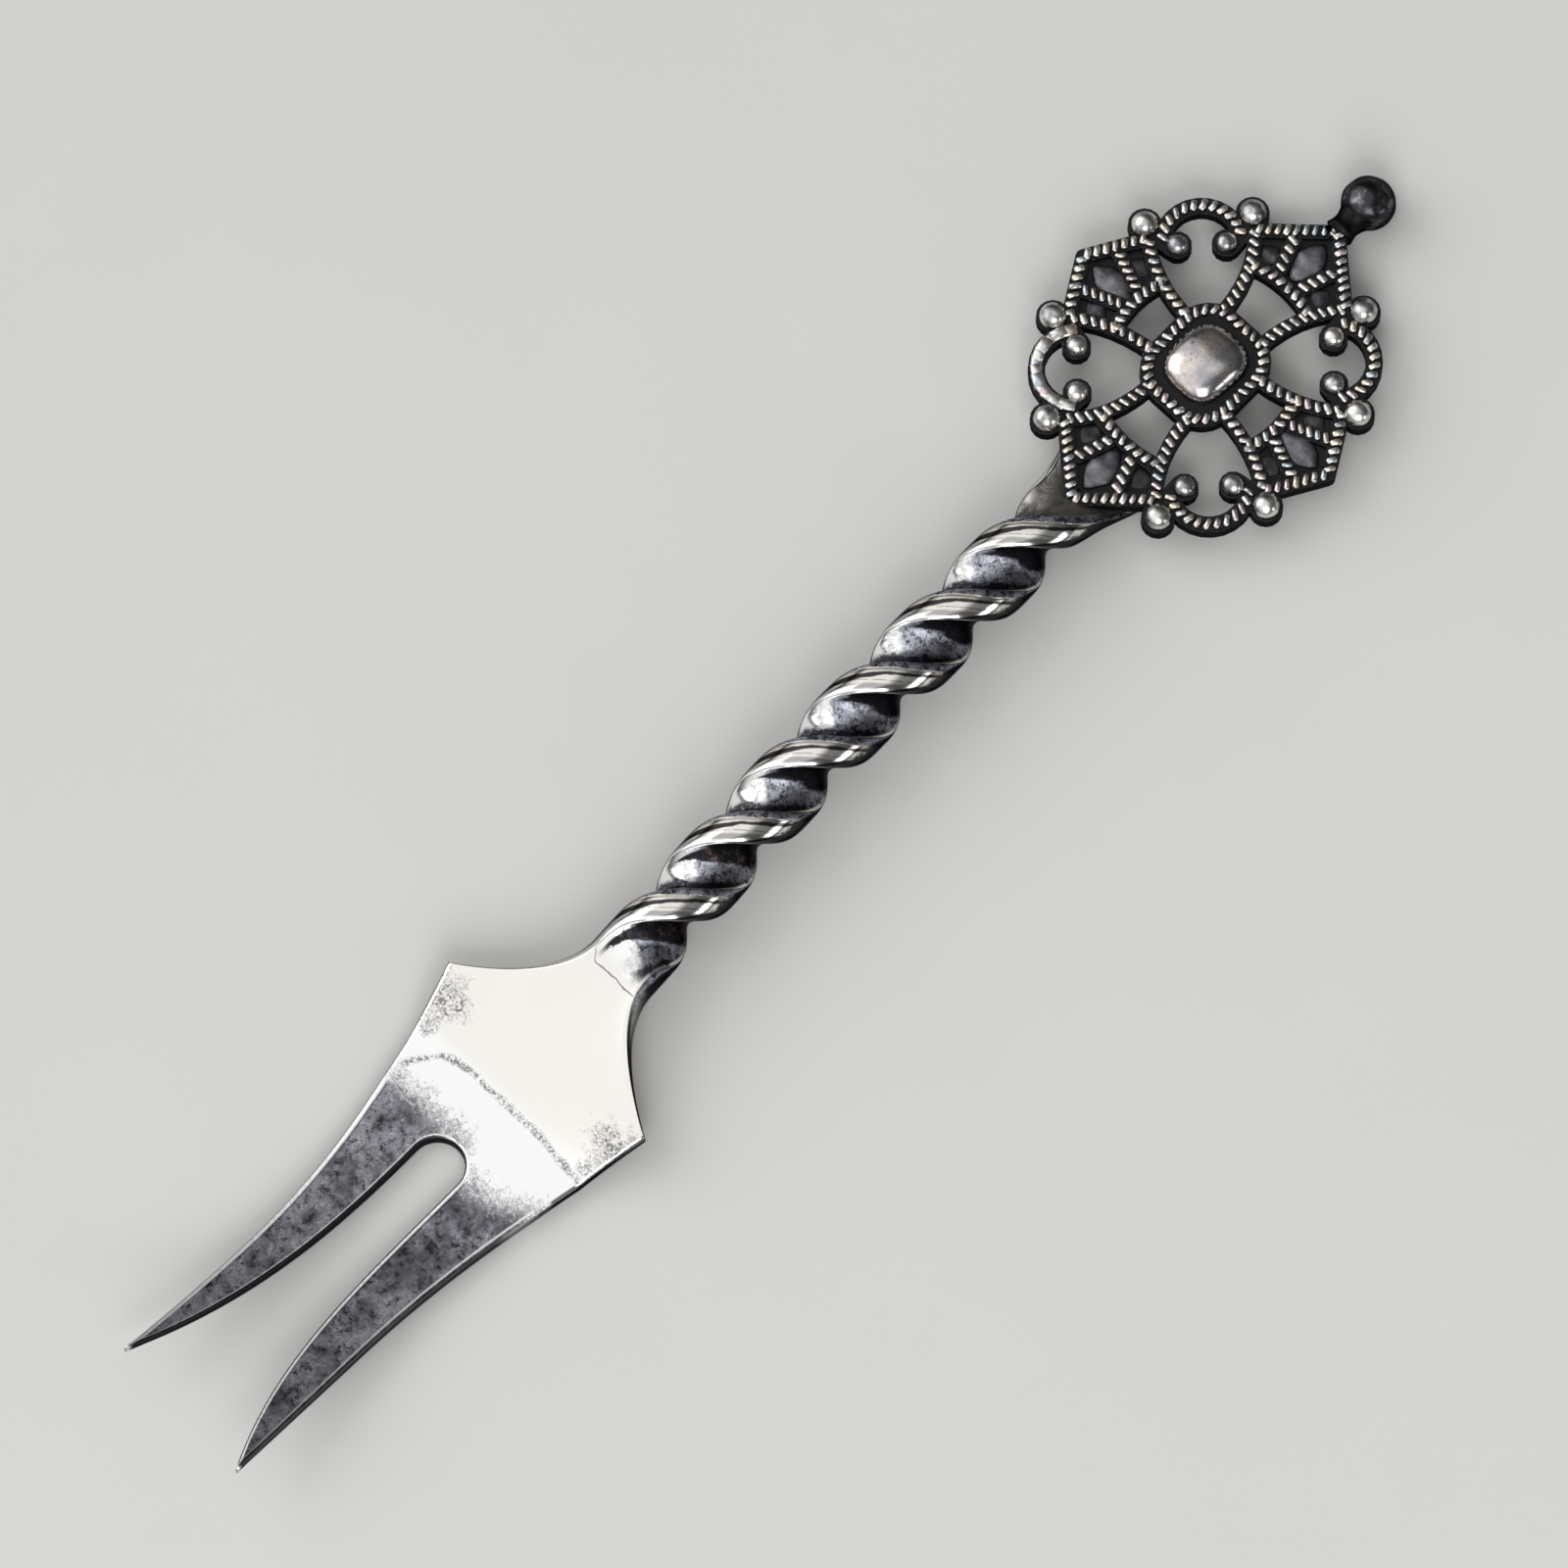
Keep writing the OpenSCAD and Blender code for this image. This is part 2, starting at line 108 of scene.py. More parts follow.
class Wire:
    # one socket of a shader graph: sums on it add Math nodes, and add() makes any other node
    def __init__(self, tree, socket=None):
        self.tree = tree
        self.socket = socket

    def add(self, kind, settings=None, inputs=None, output=0):
        made = self.tree.nodes.new(kind)
        for name, value in (settings or {}).items():
            setattr(made, name, value)
        for name, value in (inputs or {}).items():
            if isinstance(value, Wire):
                self.tree.links.new(value.socket, made.inputs[name])
            else:
                made.inputs[name].default_value = value
        return Wire(self.tree, made.outputs[output] if made.outputs else None)

    def sum(self, operation, first, second=0.0):
        return self.add("ShaderNodeMath", {"operation": operation}, {0: first, 1: second})

    def __add__(self, other):
        return self.sum("ADD", self, other)

    def __radd__(self, other):
        return self.sum("ADD", other, self)

    def __sub__(self, other):
        return self.sum("SUBTRACT", self, other)

    def __rsub__(self, other):
        return self.sum("SUBTRACT", other, self)

    def __mul__(self, other):
        return self.sum("MULTIPLY", self, other)

    def __rmul__(self, other):
        return self.sum("MULTIPLY", other, self)

    def __abs__(self):
        return self.sum("ABSOLUTE", self)

    def over(self, low, high):
        # 0 below low, 1 above high, and smooth between them
        return self.add("ShaderNodeMapRange", {"interpolation_type": "SMOOTHSTEP"},
                        {"Value": self, "From Min": low, "From Max": high})

    def under(self, low, high):
        return 1 - self.over(low, high)

    def least(self, other):
        return self.sum("MINIMUM", self, other)

    def most(self, other):
        return self.sum("MAXIMUM", self, other)

    def tint(self, low, high):
        # this value mixes one colour into another: the node's factor is input 0, its colours are 6 and 7
        return self.add("ShaderNodeMix", {"data_type": "RGBA"}, {0: self, 6: low, 7: high}, 2)


def colour(red, green=None, blue=None):
    return (red, red if green is None else green, red if blue is None else blue, 1)


def colours(look):
    return {name: colour(*tone) for name, tone in look.items()}


def newMaterial(name):
    # the material, a wire to build on, and the place on the object in millimetres
    material = bpy.data.materials.new(name)
    material.use_nodes = True
    material.node_tree.nodes.clear()
    wire = Wire(material.node_tree)
    metres = wire.add("ShaderNodeTexCoord", output="Object")
    mm = wire.add("ShaderNodeVectorMath", {"operation": "SCALE"}, {0: metres, "Scale": float(perMetre)})
    return material, wire, mm


def closeMaterial(wire, **inputs):
    surface = wire.add("ShaderNodeBsdfPrincipled", None, inputs)
    wire.add("ShaderNodeOutputMaterial", None, {"Surface": surface})


def markOf(wire, name):
    # a number that the mesh carries at each corner; the node gives it out as its third output
    return wire.add("ShaderNodeAttribute", {"attribute_name": name}, output=2)


def noiseAt(wire, place, scale, detail=4.0, roughness=0.55, distortion=0.0):
    # clouds whose main features are about 1 / scale millimetres apart
    return wire.add("ShaderNodeTexNoise", None, {"Vector": place, "Scale": scale, "Detail": detail,
                                                 "Roughness": roughness, "Distortion": distortion})


def veinsAt(wire, place, scale, width, detail=3.0):
    # thin wandering lines, where a cloud crosses its middle
    return abs(noiseAt(wire, place, scale, detail, 0.6, 0.4) - 0.5).under(0.0, width)


def bumpOf(wire, height, depth):
    # a rise of 1 in the height stands depth millimetres out of the surface
    return wire.add("ShaderNodeBump", None, {"Height": height, "Distance": depth / perMetre})


def newObject(name, data):
    made = bpy.data.objects.new(name, data)
    bpy.context.scene.collection.objects.link(made)
    return made


def newMesh(name, bm):
    mesh = bpy.data.meshes.new(name)
    bm.to_mesh(mesh)
    bm.free()
    return mesh


def finishPiece(bm, name, materials, smooth=True):
    bmesh.ops.transform(bm, matrix=toMetres, verts=bm.verts[:])
    mesh = newMesh(name, bm)
    for face in mesh.polygons:
        face.use_smooth = smooth
    for material in materials:
        mesh.materials.append(material)
    piece = newObject(name, mesh)
    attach(piece, "root")
    top = max(vert.co.z for vert in mesh.vertices) * perMetre
    print("made", name, "with", len(mesh.polygons), "faces, top at", round(top, 3))
    return piece


# The fork's sizes as functions of the place along X

def barShare(x):
    # 0 on the head and the tab, 1 along the twisted stretch
    grown = ease((x - cornerX) / f["shoulderLength"])
    gone = ease((x - tabX + f["dropLength"]) / f["dropLength"])
    return min(grown, 1 - gone)


def outerWidth(x):
    if x < cornerX:
        along = clip((slotX - x) / f["tineLength"])
        sweep = clip(1 - (cornerX - x) / f["edgeSweep"]) ** 2
        return between(f["tipReach"], f["headWidth"] / 2, sweep) - 4 * f["tineBow"] * along * (1 - along)
    if x < neckX:
        hollow = (1 - (x - cornerX) / f["shoulderLength"]) ** 2
        return between(f["stemWidth"] / 2, f["headWidth"] / 2, hollow)
    spread = ease((x - tabX + f["flareLength"] / 2) / f["flareLength"])
    flare = between(f["stemWidth"], f["tabWidth"], spread) / 2
    turn = clip((x - endX + f["endRound"]) / f["endRound"])
    return between(f["endWidth"] / 2, flare, math.sqrt(1 - turn * turn))


def halfThickness(x):
    if x < slotX:
        return between(f["headThick"], f["tipThick"], ((slotX - x) / f["tineLength"]) ** 2) / 2
    thin = f["headThick"] if x < neckX else f["tabThick"]
    return between(thin, f["stemThick"], barShare(x)) / 2


def backHeight(x):
    return finialPlace.z - (x - finialPlace.x) * math.tan(slope)


def middleHeight(x, y=0.0):
    # the crease bows a little across the head
    x = x + f["creaseBow"] * y * y * (1 - ease((x - cornerX) / f["shoulderLength"]))
    if x < slotX:
        return f["headThick"] / 2 + f["tipRise"] * ((slotX - x) / f["tineLength"]) ** 2
    if x < creaseX:
        return f["headThick"] / 2
    if x < neckX:
        rise = math.sin(math.pi / 2 * (x - creaseX) / (neckX - creaseX))
        return between(f["headThick"] / 2, f["neckHeight"], rise)
    share = clip((x - neckX) / (tabX - f["dropLength"] - neckX))
    stem = between(f["neckHeight"], f["stemEndHeight"], share) + 4 * f["arch"] * share * (1 - share)
    drop = ease((x - tabX + f["dropLength"]) / f["dropLength"])
    return between(stem, backHeight(x) - f["tabThick"] / 2, drop)


def middleSide(x):
    if x < slotX:
        return f["tipSwing"] * ((slotX - x) / f["tineLength"]) ** 2 - f["headSet"]
    return -f["headSet"] * (1 - ease((x - cornerX) / f["setLength"]))


def twistAt(x):
    # one rate along the twist, which starts quickly and dies away into the tab
    length, start, calm = f["twistLength"], f["twistStart"], f["twistSettle"]
    run = clip((x - neckX) / length) * length
    total = math.pi * f["halfTurns"]
    rate = total / (length - (start + calm) / 2)
    if run < start:
        return rate * run * run / (2 * start)
    if run > length - calm:
        return total - rate * (length - run) ** 2 / (2 * calm)
    return rate * (run - start / 2)


slotRadius = f["slotWidth"] / 2


def slotSide(x, side):
    # how far the slot's wall lies from the head's middle line: side 1 is the short tine's, -1 the long one's
    reach = f["tipReach"] - f["tipEdge"] - side * f["slotSet"]
    length = f["tineLength"] - (f["tineShort"] if side > 0 else 0)
    power = f["shortBend"] if side > 0 else f["longBend"]
    run = slotX - x
    if run < slotRadius:
        wall = math.sqrt(max(0, slotRadius ** 2 - (slotRadius - run) ** 2))
    else:
        wall = between(slotRadius, reach, clip((run - slotRadius) / (length - slotRadius)) ** power)
    return side * f["slotSet"] + wall


# shares of a bevel and of a wall, and the reach of each softened corner
edgeShape = {
    "middleShare": 0.29, "noseShare": 0.6, "wallShare": 0.9, "cornerShare": 0.4,
    "topReach": 0.08, "middleReach": 0.16, "lowReach": 0.2, "faceSteps": 9,
}


def rounded(before, corner, after, reach):
    # three places that take the sharpness off a corner
    most = edgeShape["cornerShare"]
    first = corner + (before - corner).normalized() * min(reach, most * (before - corner).length)
    last = corner + (after - corner).normalized() * min(reach, most * (after - corner).length)
    return [first, (first + 2 * corner + last) / 4, last]


def edgeProfile(thick, share, room):
    # from the arris of a broad face down to the nose of the side: way in, height and band
    # the head's and the tines' edges are small bevels, and the stem's narrow sides are rounded ridges
    e, whole = edgeShape, math.radians(f["noseTurn"])
    edge = min(f["headEdge"], room, e["wallShare"] * thick)
    top, middle = Vector((edge, thick)), Vector((e["middleShare"] * edge, thick - e["middleShare"] * edge))
    low, nose = Vector((0, thick - edge)), Vector((0, 0))
    bevels = (rounded(top + Vector((1, 0)), top, middle, e["topReach"])
              + rounded(top, middle, low, e["middleReach"]) + rounded(middle, low, nose, e["lowReach"])
              + [low.lerp(nose, e["noseShare"]), nose])
    places = []
    for i, bevel in enumerate(bevels):
        turn = whole * (1 - i / (len(bevels) - 1))
        reach = (1 - math.cos(turn)) / (1 - math.cos(whole))
        ridge = Vector((min(f["noseReach"], room) * reach, thick * math.sin(turn) / math.sin(whole)))
        places.append(bevel.lerp(ridge, share))
    run = [0.0]
    for a, b in zip(places, places[1:]):
        run.append(run[-1] + (b - a).length)
    return [(place.x, place.y, 1 - far / run[-1]) for place, far in zip(places, run)]


def halfSection(x):
    # one half of the bar's section, from the middle of its top to the middle of its underside
    # band is 0 on the nose of a side, 1 on an arris and 2 along the middle of a face
    # flank is 1 on two opposite arrises, -1 on the two others, and 0 half way between them
    width, thick, share = outerWidth(x), halfThickness(x), barShare(x)
    profile = edgeProfile(thick, share, edgeShape["wallShare"] * width)
    faceEnd = width - profile[0][0]
    top = []
    for i in range(edgeShape["faceSteps"]):
        part = i / edgeShape["faceSteps"]
        top.append((part * faceEnd, thick - f["stemHollow"] * share * (1 - part * part), 2 - part, part))
    top += [(width - away, z, band, max(0, z / thick)) for away, z, band in profile]
    return top + [(y, -z, band, -flank) for y, z, band, flank in reversed(top[:-1])]


def ringPlaces(x):
    half = halfSection(x)
    ring = half + [(-y, z, band, -flank) for y, z, band, flank in reversed(half[1:-1])]
    turn = twistAt(x)
    c, s = math.cos(turn), math.sin(turn)
    return [(Vector((x, middleSide(x) + y * c - z * s, middleHeight(x, y) + y * s + z * c)), band, flank)
            for y, z, band, flank in ring]


def loopEdges(bm, verts):
    return [bm.edges.get((verts[i], verts[(i + 1) % len(verts)])) for i in range(len(verts))]


def extruded(bm, verts):
    # extrudes a closed loop, and gives the new loop's verts in the same order
    made = bmesh.ops.extrude_edge_only(bm, edges=loopEdges(bm, verts))["geom"]
    fresh = {v for v in made if isinstance(v, bmesh.types.BMVert)}
    return [next(e.other_vert(v) for e in v.link_edges if e.other_vert(v) in fresh) for v in verts]


def settle(verts, places, layers):
    for vert, (place, band, flank) in zip(verts, places):
        vert.co = place
        vert[layers["band"]] = band
        vert[layers["flank"]] = flank


def nextLoop(bm, verts, places, layers):
    loop = extruded(bm, verts)
    settle(loop, places, layers)
    return loop


tineShape = {"rows": 90, "arcRows": 12, "wallSteps": 3, "wallEdge": 0.3, "roomShare": 0.45}
forkSteps = {"end": 8, "tab": 4, "twist": 420, "shoulder": 40, "cheek": 14, "heel": 14}


def tineRow(side, row):
    # one loop round a tine: out along the top, down the outer edge, back underneath, up the slot's wall
    rows, arcRows, steps = tineShape["rows"], tineShape["arcRows"], tineShape["wallSteps"]
    endingX = tipX + (f["tineShort"] if side > 0 else 0)
    if row <= arcRows:
        turn = math.pi / 2 * row / arcRows
        away = Vector((math.cos(turn), math.sin(turn)))
        inner = Vector((slotX - slotRadius + slotRadius * away.x, side * f["slotSet"] + slotRadius * away.y))
        outerX = between(slotX + tineShape["wallEdge"], slotX - slotRadius, row / arcRows)
    else:
        outerX = between(slotX - slotRadius, endingX, (row - arcRows) / (rows - arcRows))
        away = Vector((0, 1))
        inner = Vector((outerX, slotSide(outerX, side)))
    outer, thick = outerWidth(outerX), halfThickness(outerX)
    room = tineShape["roomShare"] * (outer - inner.y)
    profile = edgeProfile(thick, 0, room)
    wall = min(tineShape["wallEdge"], room, edgeShape["wallShare"] * thick)
    start = inner + away * wall
    top = []
    for i in range(edgeShape["faceSteps"]):
        part = i / edgeShape["faceSteps"]
        spot = start.lerp(Vector((outerX, outer - profile[0][0])), part)
        band = 1 + min(1, 2 * part, 2 - 2 * part)
        top.append((spot.x, spot.y, halfThickness(spot.x), band, side * (1 - 2 * part)))
    top += [(outerX, outer - inward, z, band, -side) for inward, z, band in profile]
    half = top + [(x, y, -z, band, flank) for x, y, z, band, flank in reversed(top[:-1])]
    rise = []
    for i in range(1, steps + 1):
        turn = math.pi / 2 * (1 - i / steps)
        spot = inner + away * wall * (1 - math.cos(turn))
        height = halfThickness(spot.x) - wall + wall * math.sin(turn)
        rise.append((spot.x, spot.y, height, 1 - i / steps, side))
    low = [(x, y, -z, band, flank) for x, y, z, band, flank in rise]
    loop = half + low + [(inner.x, inner.y, 0, 0, side)] + rise[::-1]
    return [(Vector((x, middleSide(x) + side * y, middleHeight(x, y) + z)), band, flank)
            for x, y, z, band, flank in loop]


def makeFork():
    bm = bmesh.new()
    layers = {name: bm.verts.layers.float.new(name) for name in ("band", "flank", "lee")}
    roundX, wallX = endX - f["endRound"], slotX + tineShape["wallEdge"]
    stretches = ((endX, roundX, "end"), (roundX, tabX, "tab"), (tabX, neckX, "twist"),
                 (neckX, cornerX, "shoulder"), (cornerX, creaseX, "cheek"), (creaseX, wallX, "heel"))
    stations = [x for start, stop, name in stretches for x in spaced(start, stop, forkSteps[name])] + [wallX]
    first = ringPlaces(stations[0])
    loop = bmesh.ops.create_circle(bm, segments=len(first), radius=1)["verts"]
    settle(loop, first, layers)
    bmesh.ops.contextual_create(bm, geom=loopEdges(bm, loop))
    for x in stations[1:]:
        loop = nextLoop(bm, loop, ringPlaces(x), layers)
    # the slot's wall starts between the middles of the top and the underside
    count = len(halfSection(creaseX))
    right, left = loop[:count], [loop[0]] + loop[count - 1:][::-1]
    places = tineRow(1, 0)[count:]
    wall = [bm.verts.new(place[0]) for place in places]
    settle(wall, places, layers)
    chain = [right[-1]] + wall + [right[0]]
    for a, b in zip(chain, chain[1:]):
        bm.edges.new((a, b))
    for side, half in ((1, right), (-1, left)):
        tine = half + wall
        for row in range(1, tineShape["rows"] + 1):
            tine = nextLoop(bm, tine, tineRow(side, row), layers)
        bmesh.ops.contextual_create(bm, geom=loopEdges(bm, tine))
    bmesh.ops.recalc_face_normals(bm, faces=bm.faces[:])
    bm.normal_update()
    for vert in bm.verts:
        vert[layers["lee"]] = -vert.normal.y
    return bm


silverLook = {
    "bright": (0.96, 0.96, 0.955), "warm": (0.9, 0.88, 0.835), "cream": (0.83, 0.8, 0.75),
    "brown": (0.1, 0.08, 0.065), "leaf": (0.42, 0.43, 0.49), "leafDark": (0.035, 0.038, 0.05),
    "dull": (0.44, 0.43, 0.42), "black": (0.01, 0.01, 0.012), "rust": (0.07, 0.042, 0.038),
    "beige": (0.5, 0.475, 0.43), "flare": (0.2, 0.185, 0.165),
    "tine": (0.13, 0.13, 0.15), "tineLight": (0.34, 0.34, 0.38), "blot": (0.03, 0.03, 0.035),
    "scratch": (0.7, 0.7, 0.75), "patch": (0.07, 0.075, 0.095), "peach": (0.9, 0.86, 0.82),
}

# scale, detail, roughness and distortion of the clouds that break up every zone
silverClouds = {
    "cloud": (0.35, 3), "mottle": (1.3, 5, 0.65, 0.3), "fern": (2.6, 5, 0.75, 1.2), "grit": (5.0, 4, 0.6),
    "smudge": (0.16, 2),
}


class Silver:
    # what tells the fork's zones apart: its place, the mesh's own marks and the clouds
    # band and flank say where round the section a spot lies, and lee how far it faces the near side; the
    # paint uses lee to place painted highlights, painted reflections and painted shade
    def __init__(self, wire, mm):
        self.wire, self.mm = wire, mm
        self.look = colours(silverLook)
        self.band, self.flank, self.lee = [markOf(wire, name) for name in ("band", "flank", "lee")]
        self.x, y = [wire.add("ShaderNodeSeparateXYZ", None, {0: mm}, axis) for axis in ("X", "Y")]
        clouds = {name: noiseAt(wire, mm, *settings) for name, settings in silverClouds.items()}
        self.cloud, self.mottle, self.fern, self.grit, self.smudge = clouds.values()
        self.side = y + f["headSet"]
        self.face = self.band.over(1.0, 1.08)
        self.onStem = self.x.over(*near(neckX, (-1.2, 0.4)))

    def veins(self, scale, width):
        return veinsAt(self.wire, self.mm, scale, width)


def near(place, zone):
    # the two ends of a zone that is given from one place along X
    return [place + end for end in zone]


tineLook = {
    "end": 0.6, "ragged": 4, "ferny": 5, "fade": (-1.3, 1.3),
    "dip": 2.2, "dipInner": (-2, 0), "dipOuter": (-10, -4),
    "light": (0.4, 0.62), "blots": (0.38, 0.5), "blotStrength": 0.95,
    "veins": ((0.9, 0.016), (2.2, 0.012)), "veinClouds": (0.42, 0.55), "veinStrength": 0.75,
    "warmFrom": (-0.6, 1.2),
}


def tinesShare(s):
    # 1 on the tines and 0 on the head, with a ragged end that dips on the long tine's side
    z = tineLook
    edge = slotX + z["end"] + (s.mottle - 0.5) * z["ragged"] + (s.fern - 0.5) * z["ferny"]
    edge = edge - s.side.under(*z["dipInner"]) * s.side.over(*z["dipOuter"]) * z["dip"]
    return (s.x - edge).under(*z["fade"])


def paintTines(s, onTines):
    # a bright head, and dark grey tines with black blots and pale scratches
    z = tineLook
    tine = (s.cloud * 0.5 + s.mottle * 0.5).over(*z["light"]).tint(s.look["tine"], s.look["tineLight"])
    blots = (s.mottle * 0.6 + s.fern * 0.4).under(*z["blots"])
    tine = (blots * z["blotStrength"]).tint(tine, s.look["blot"])
    broad, fine = [s.veins(*vein) for vein in z["veins"]]
    squiggle = broad.most(fine) * s.cloud.over(*z["veinClouds"])
    tine = (squiggle * z["veinStrength"]).tint(tine, s.look["scratch"])
    tone = s.x.over(*near(creaseX, z["warmFrom"])).tint(s.look["bright"], s.look["warm"])
    # on the tines a bevel that faces the far side keeps the bright tone: a painted reflection line along the
    # arris
    return (onTines * s.face.most(s.band.over(0.5, 0.8) * s.lee.over(0.0, 0.3))).tint(tone, tine)


cheekLook = {
    "broad": {"side": (3.5, 9.5), "fromCrease": (-0.8, 3), "toCorner": (-2.5, 2)},
    "outer": {"side": (6.6, 8.4), "fromCrease": (-1.5, 0), "toCorner": (-1.5, 0), "strength": 0.75},
    "patches": (0.42, 0.56), "patchClouds": (0.5, 1.2), "patchStrength": 0.9,
    "curl": 2.4, "curlFrom": (5.6, 8.6), "thickFrom": (6.2, 7.6), "wander": 0.9,
    "line": (0.06, 0.42), "lineBreaks": (0.44, 0.56), "lineEnd": (7.8, 8.3), "lineStrength": 0.85,
    "smudges": (0.5, 0.62), "smudgeFrom": (0.5, 3), "smudgeStrength": 0.7,
}


def cheekCorner(s, zone):
    return (abs(s.side).over(*zone["side"]) * s.x.over(*near(creaseX, zone["fromCrease"]))
            * s.x.under(*near(cornerX, zone["toCorner"])))


def paintCheeks(s, tone):
    # ferny grey patches inside the two corners, and a broken line along the crease, hooked at its far end
    z = cheekLook
    corner = cheekCorner(s, z["broad"]).most(cheekCorner(s, z["outer"]) * z["outer"]["strength"])
    patch = (s.fern * 0.8 + s.grit * 0.2).under(*z["patches"])
    patch = patch * (corner * 1.3 + (s.mottle - 0.5) * 2.0).over(*z["patchClouds"])
    curl = s.side.over(*z["curlFrom"]) * z["curl"]
    fold = s.x - creaseX + curl + f["creaseBow"] * s.side * s.side
    fold = abs(fold + (s.fern - 0.5) * z["wander"] + (s.cloud - 0.5) * z["wander"])
    fold = fold * (1 - s.side.over(*z["thickFrom"]) * 0.5)
    line = fold.under(*z["line"]) * (s.grit * 0.5 + s.fern * 0.5).under(*z["lineBreaks"])
    line = line * s.side.under(*z["lineEnd"])
    smudge = s.smudge.over(*z["smudges"]) * s.x.over(*near(creaseX, z["smudgeFrom"]))
    tone = (smudge * z["smudgeStrength"]).tint(tone, s.look["peach"])
    return (patch * z["patchStrength"]).most(line * z["lineStrength"]).tint(tone, s.look["patch"])


wallLook = {
    "headEnd": (-5, 0), "low": (0.45, 0.8), "whole": (0.85, 1.03), "nearSide": (0.1, 0.35), "strength": 0.97,
    "farTine": (-2, -1), "farTineLee": (0.2, 0.4), "farTineTo": (-4, -2), "farStrength": 0.8,
    "wallHighlight": (0.03, 0.1), "wallHighlightFrom": (-4, 0), "wallHighlightLee": (0.5, 0.7),
    "tipHighlight": (0.15, 0.6), "arris": (0.0, 0.06),
}


def paintWalls(s, tone, onTines):
    # the walls of the head and the tines: black, partly as patina and partly as painted shade where they
    # face the near side, under an arris that is left bright on the far side as a painted reflection
    z = wallLook
    thickWall = s.side.over(0, 1).most(s.x.over(*near(cornerX, (-1, 1))))
    # black on the low walls, and on the whole wall and bevel where they face the near side: painted shade
    # over the patina
    shade = s.band.under(*z["low"]).most(s.band.under(*z["whole"]) * s.lee.over(*z["nearSide"]) * thickWall)
    # the long tine's outer wall and bevel also get painted shade where they face the near side
    outerWall = onTines * s.side.under(*z["farTine"]) * s.lee.over(*z["farTineLee"])
    outerDark = outerWall * s.band.under(0.9, 1.02) * s.x.under(*near(slotX, z["farTineTo"]))
    tone = (outerDark * z["farStrength"]).tint(tone, s.look["black"])
    # a pale line along the shoulder's near wall, where the black is lifted: a painted highlight
    wallHighlight = abs(s.band - 0.35 - (s.cloud - 0.5) * 0.5).under(*z["wallHighlight"])
    wallHighlight = wallHighlight * s.x.over(*near(cornerX, z["wallHighlightFrom"])) * s.lee.over(*z["wallHighlightLee"])
    onHead = s.x.under(*near(neckX, z["headEnd"]))
    dark = onHead * shade * (1 - wallHighlight * 0.9) * (1 - outerWall * 0.35) * z["strength"]
    tone = dark.tint(tone, s.look["black"])
    # the last half millimetre of each tine is painted bright: a painted highlight
    tip = (s.x - tipX - s.side.over(0, 1) * f["tineShort"]).under(*z["tipHighlight"])
    tone = tip.tint(tone, s.look["bright"])
    # a dark line just inside the arris where the tines face the far side: a painted reflection
    arris = onTines * abs(s.band - 1.07).under(*z["arris"]) * s.lee.under(-0.1, 0.1)
    return (arris * 0.8).tint(tone, s.look["blot"])


def mottledGrey(s):
    # shared by the stem's broad faces and the upper edges of its narrow sides
    grey = (s.mottle * 0.4 + s.fern * 0.6).over(0.42, 0.54).tint(s.look["leafDark"], s.look["leaf"])
    grey = (s.veins(1.6, 0.02) * s.cloud.over(0.42, 0.5) * 0.8).tint(grey, s.look["scratch"])
    # darker where the face turns to the near side: painted shade
    return (s.lee.over(0.0, 0.5) * 0.35).tint(grey, s.look["leafDark"])


# most are places across a narrow side, from -1 at its upper arris to 1 at its lower one
narrowLook = {
    "cream": (0.45, 0.62), "polish": (0.8, 0.95), "beige": (-0.45, -0.35), "grey": (-0.72, -0.6),
    "glow": (0.25, 0.4), "glowLee": (0.3, 0.45), "glowEnd": (0.72, 0.85),
    "stroke": 0.3, "strokeWidth": (0.01, 0.06), "strokeStrength": 0.6,
    "paintedShadeLine": 0.22, "paintedShadeLineWidth": (0.06, 0.2), "strength": 0.95,
    "under": (0.78, 0.9), "underLow": (0.95, 1.1), "arris": (0.01, 0.05), "arrisStrength": 0.7,
}


def paintNarrowSides(s, tone, grey, wave, lip):
    # mottled, then a black line, cream and a polished edge, with fine brown lines along them; a white spot
    # is painted highlight, and the black line and the black on the near side are painted shade
    z = narrowLook
    away = s.lee.least(0)
    ridge = wave.over(*z["cream"]).tint(s.look["cream"], s.look["dull"])
    ridge = wave.over(*z["polish"]).tint(ridge, s.look["bright"])
    ridge = wave.under(*z["beige"]).tint(ridge, s.look["beige"])
    ridge = wave.under(*z["grey"]).tint(ridge, grey)
    # a white spot where the side faces the near side: a painted highlight
    glow = s.lee.over(*z["glowLee"]) * s.lee.under(*z["glowEnd"]) * abs(wave + 0.05).under(*z["glow"])
    ridge = glow.tint(ridge, s.look["bright"])
    strokes = abs(wave - z["stroke"]).under(*z["strokeWidth"]) * s.mottle.over(0.38, 0.5)
    ridge = (strokes * z["strokeStrength"]).tint(ridge, s.look["brown"])
    # a black line along the side, wider where it turns to the far side: painted shade
    paintedShadeLine = abs(wave + z["paintedShadeLine"] + s.lee * 0.1 + away * 0.4) + away * 0.25 + (s.mottle - 0.5) * 0.2
    # black where the side faces the near side: painted shade
    under = (s.lee + (s.mottle - 0.5) * 0.3).over(*z["under"])
    under = under.most((s.lee + s.flank * 0.5).over(*z["underLow"]))
    ridge = (paintedShadeLine.under(*z["paintedShadeLineWidth"]).most(under) * z["strength"]).tint(ridge, s.look["black"])
    tone = lip.tint(tone, ridge)
    arris = abs(s.band - 1.0 - (s.cloud - 0.5) * 0.06).under(*z["arris"]) * s.flank.over(-0.2, 0.2)
    return (arris * s.onStem * z["arrisStrength"]).tint(tone, s.look["brown"])


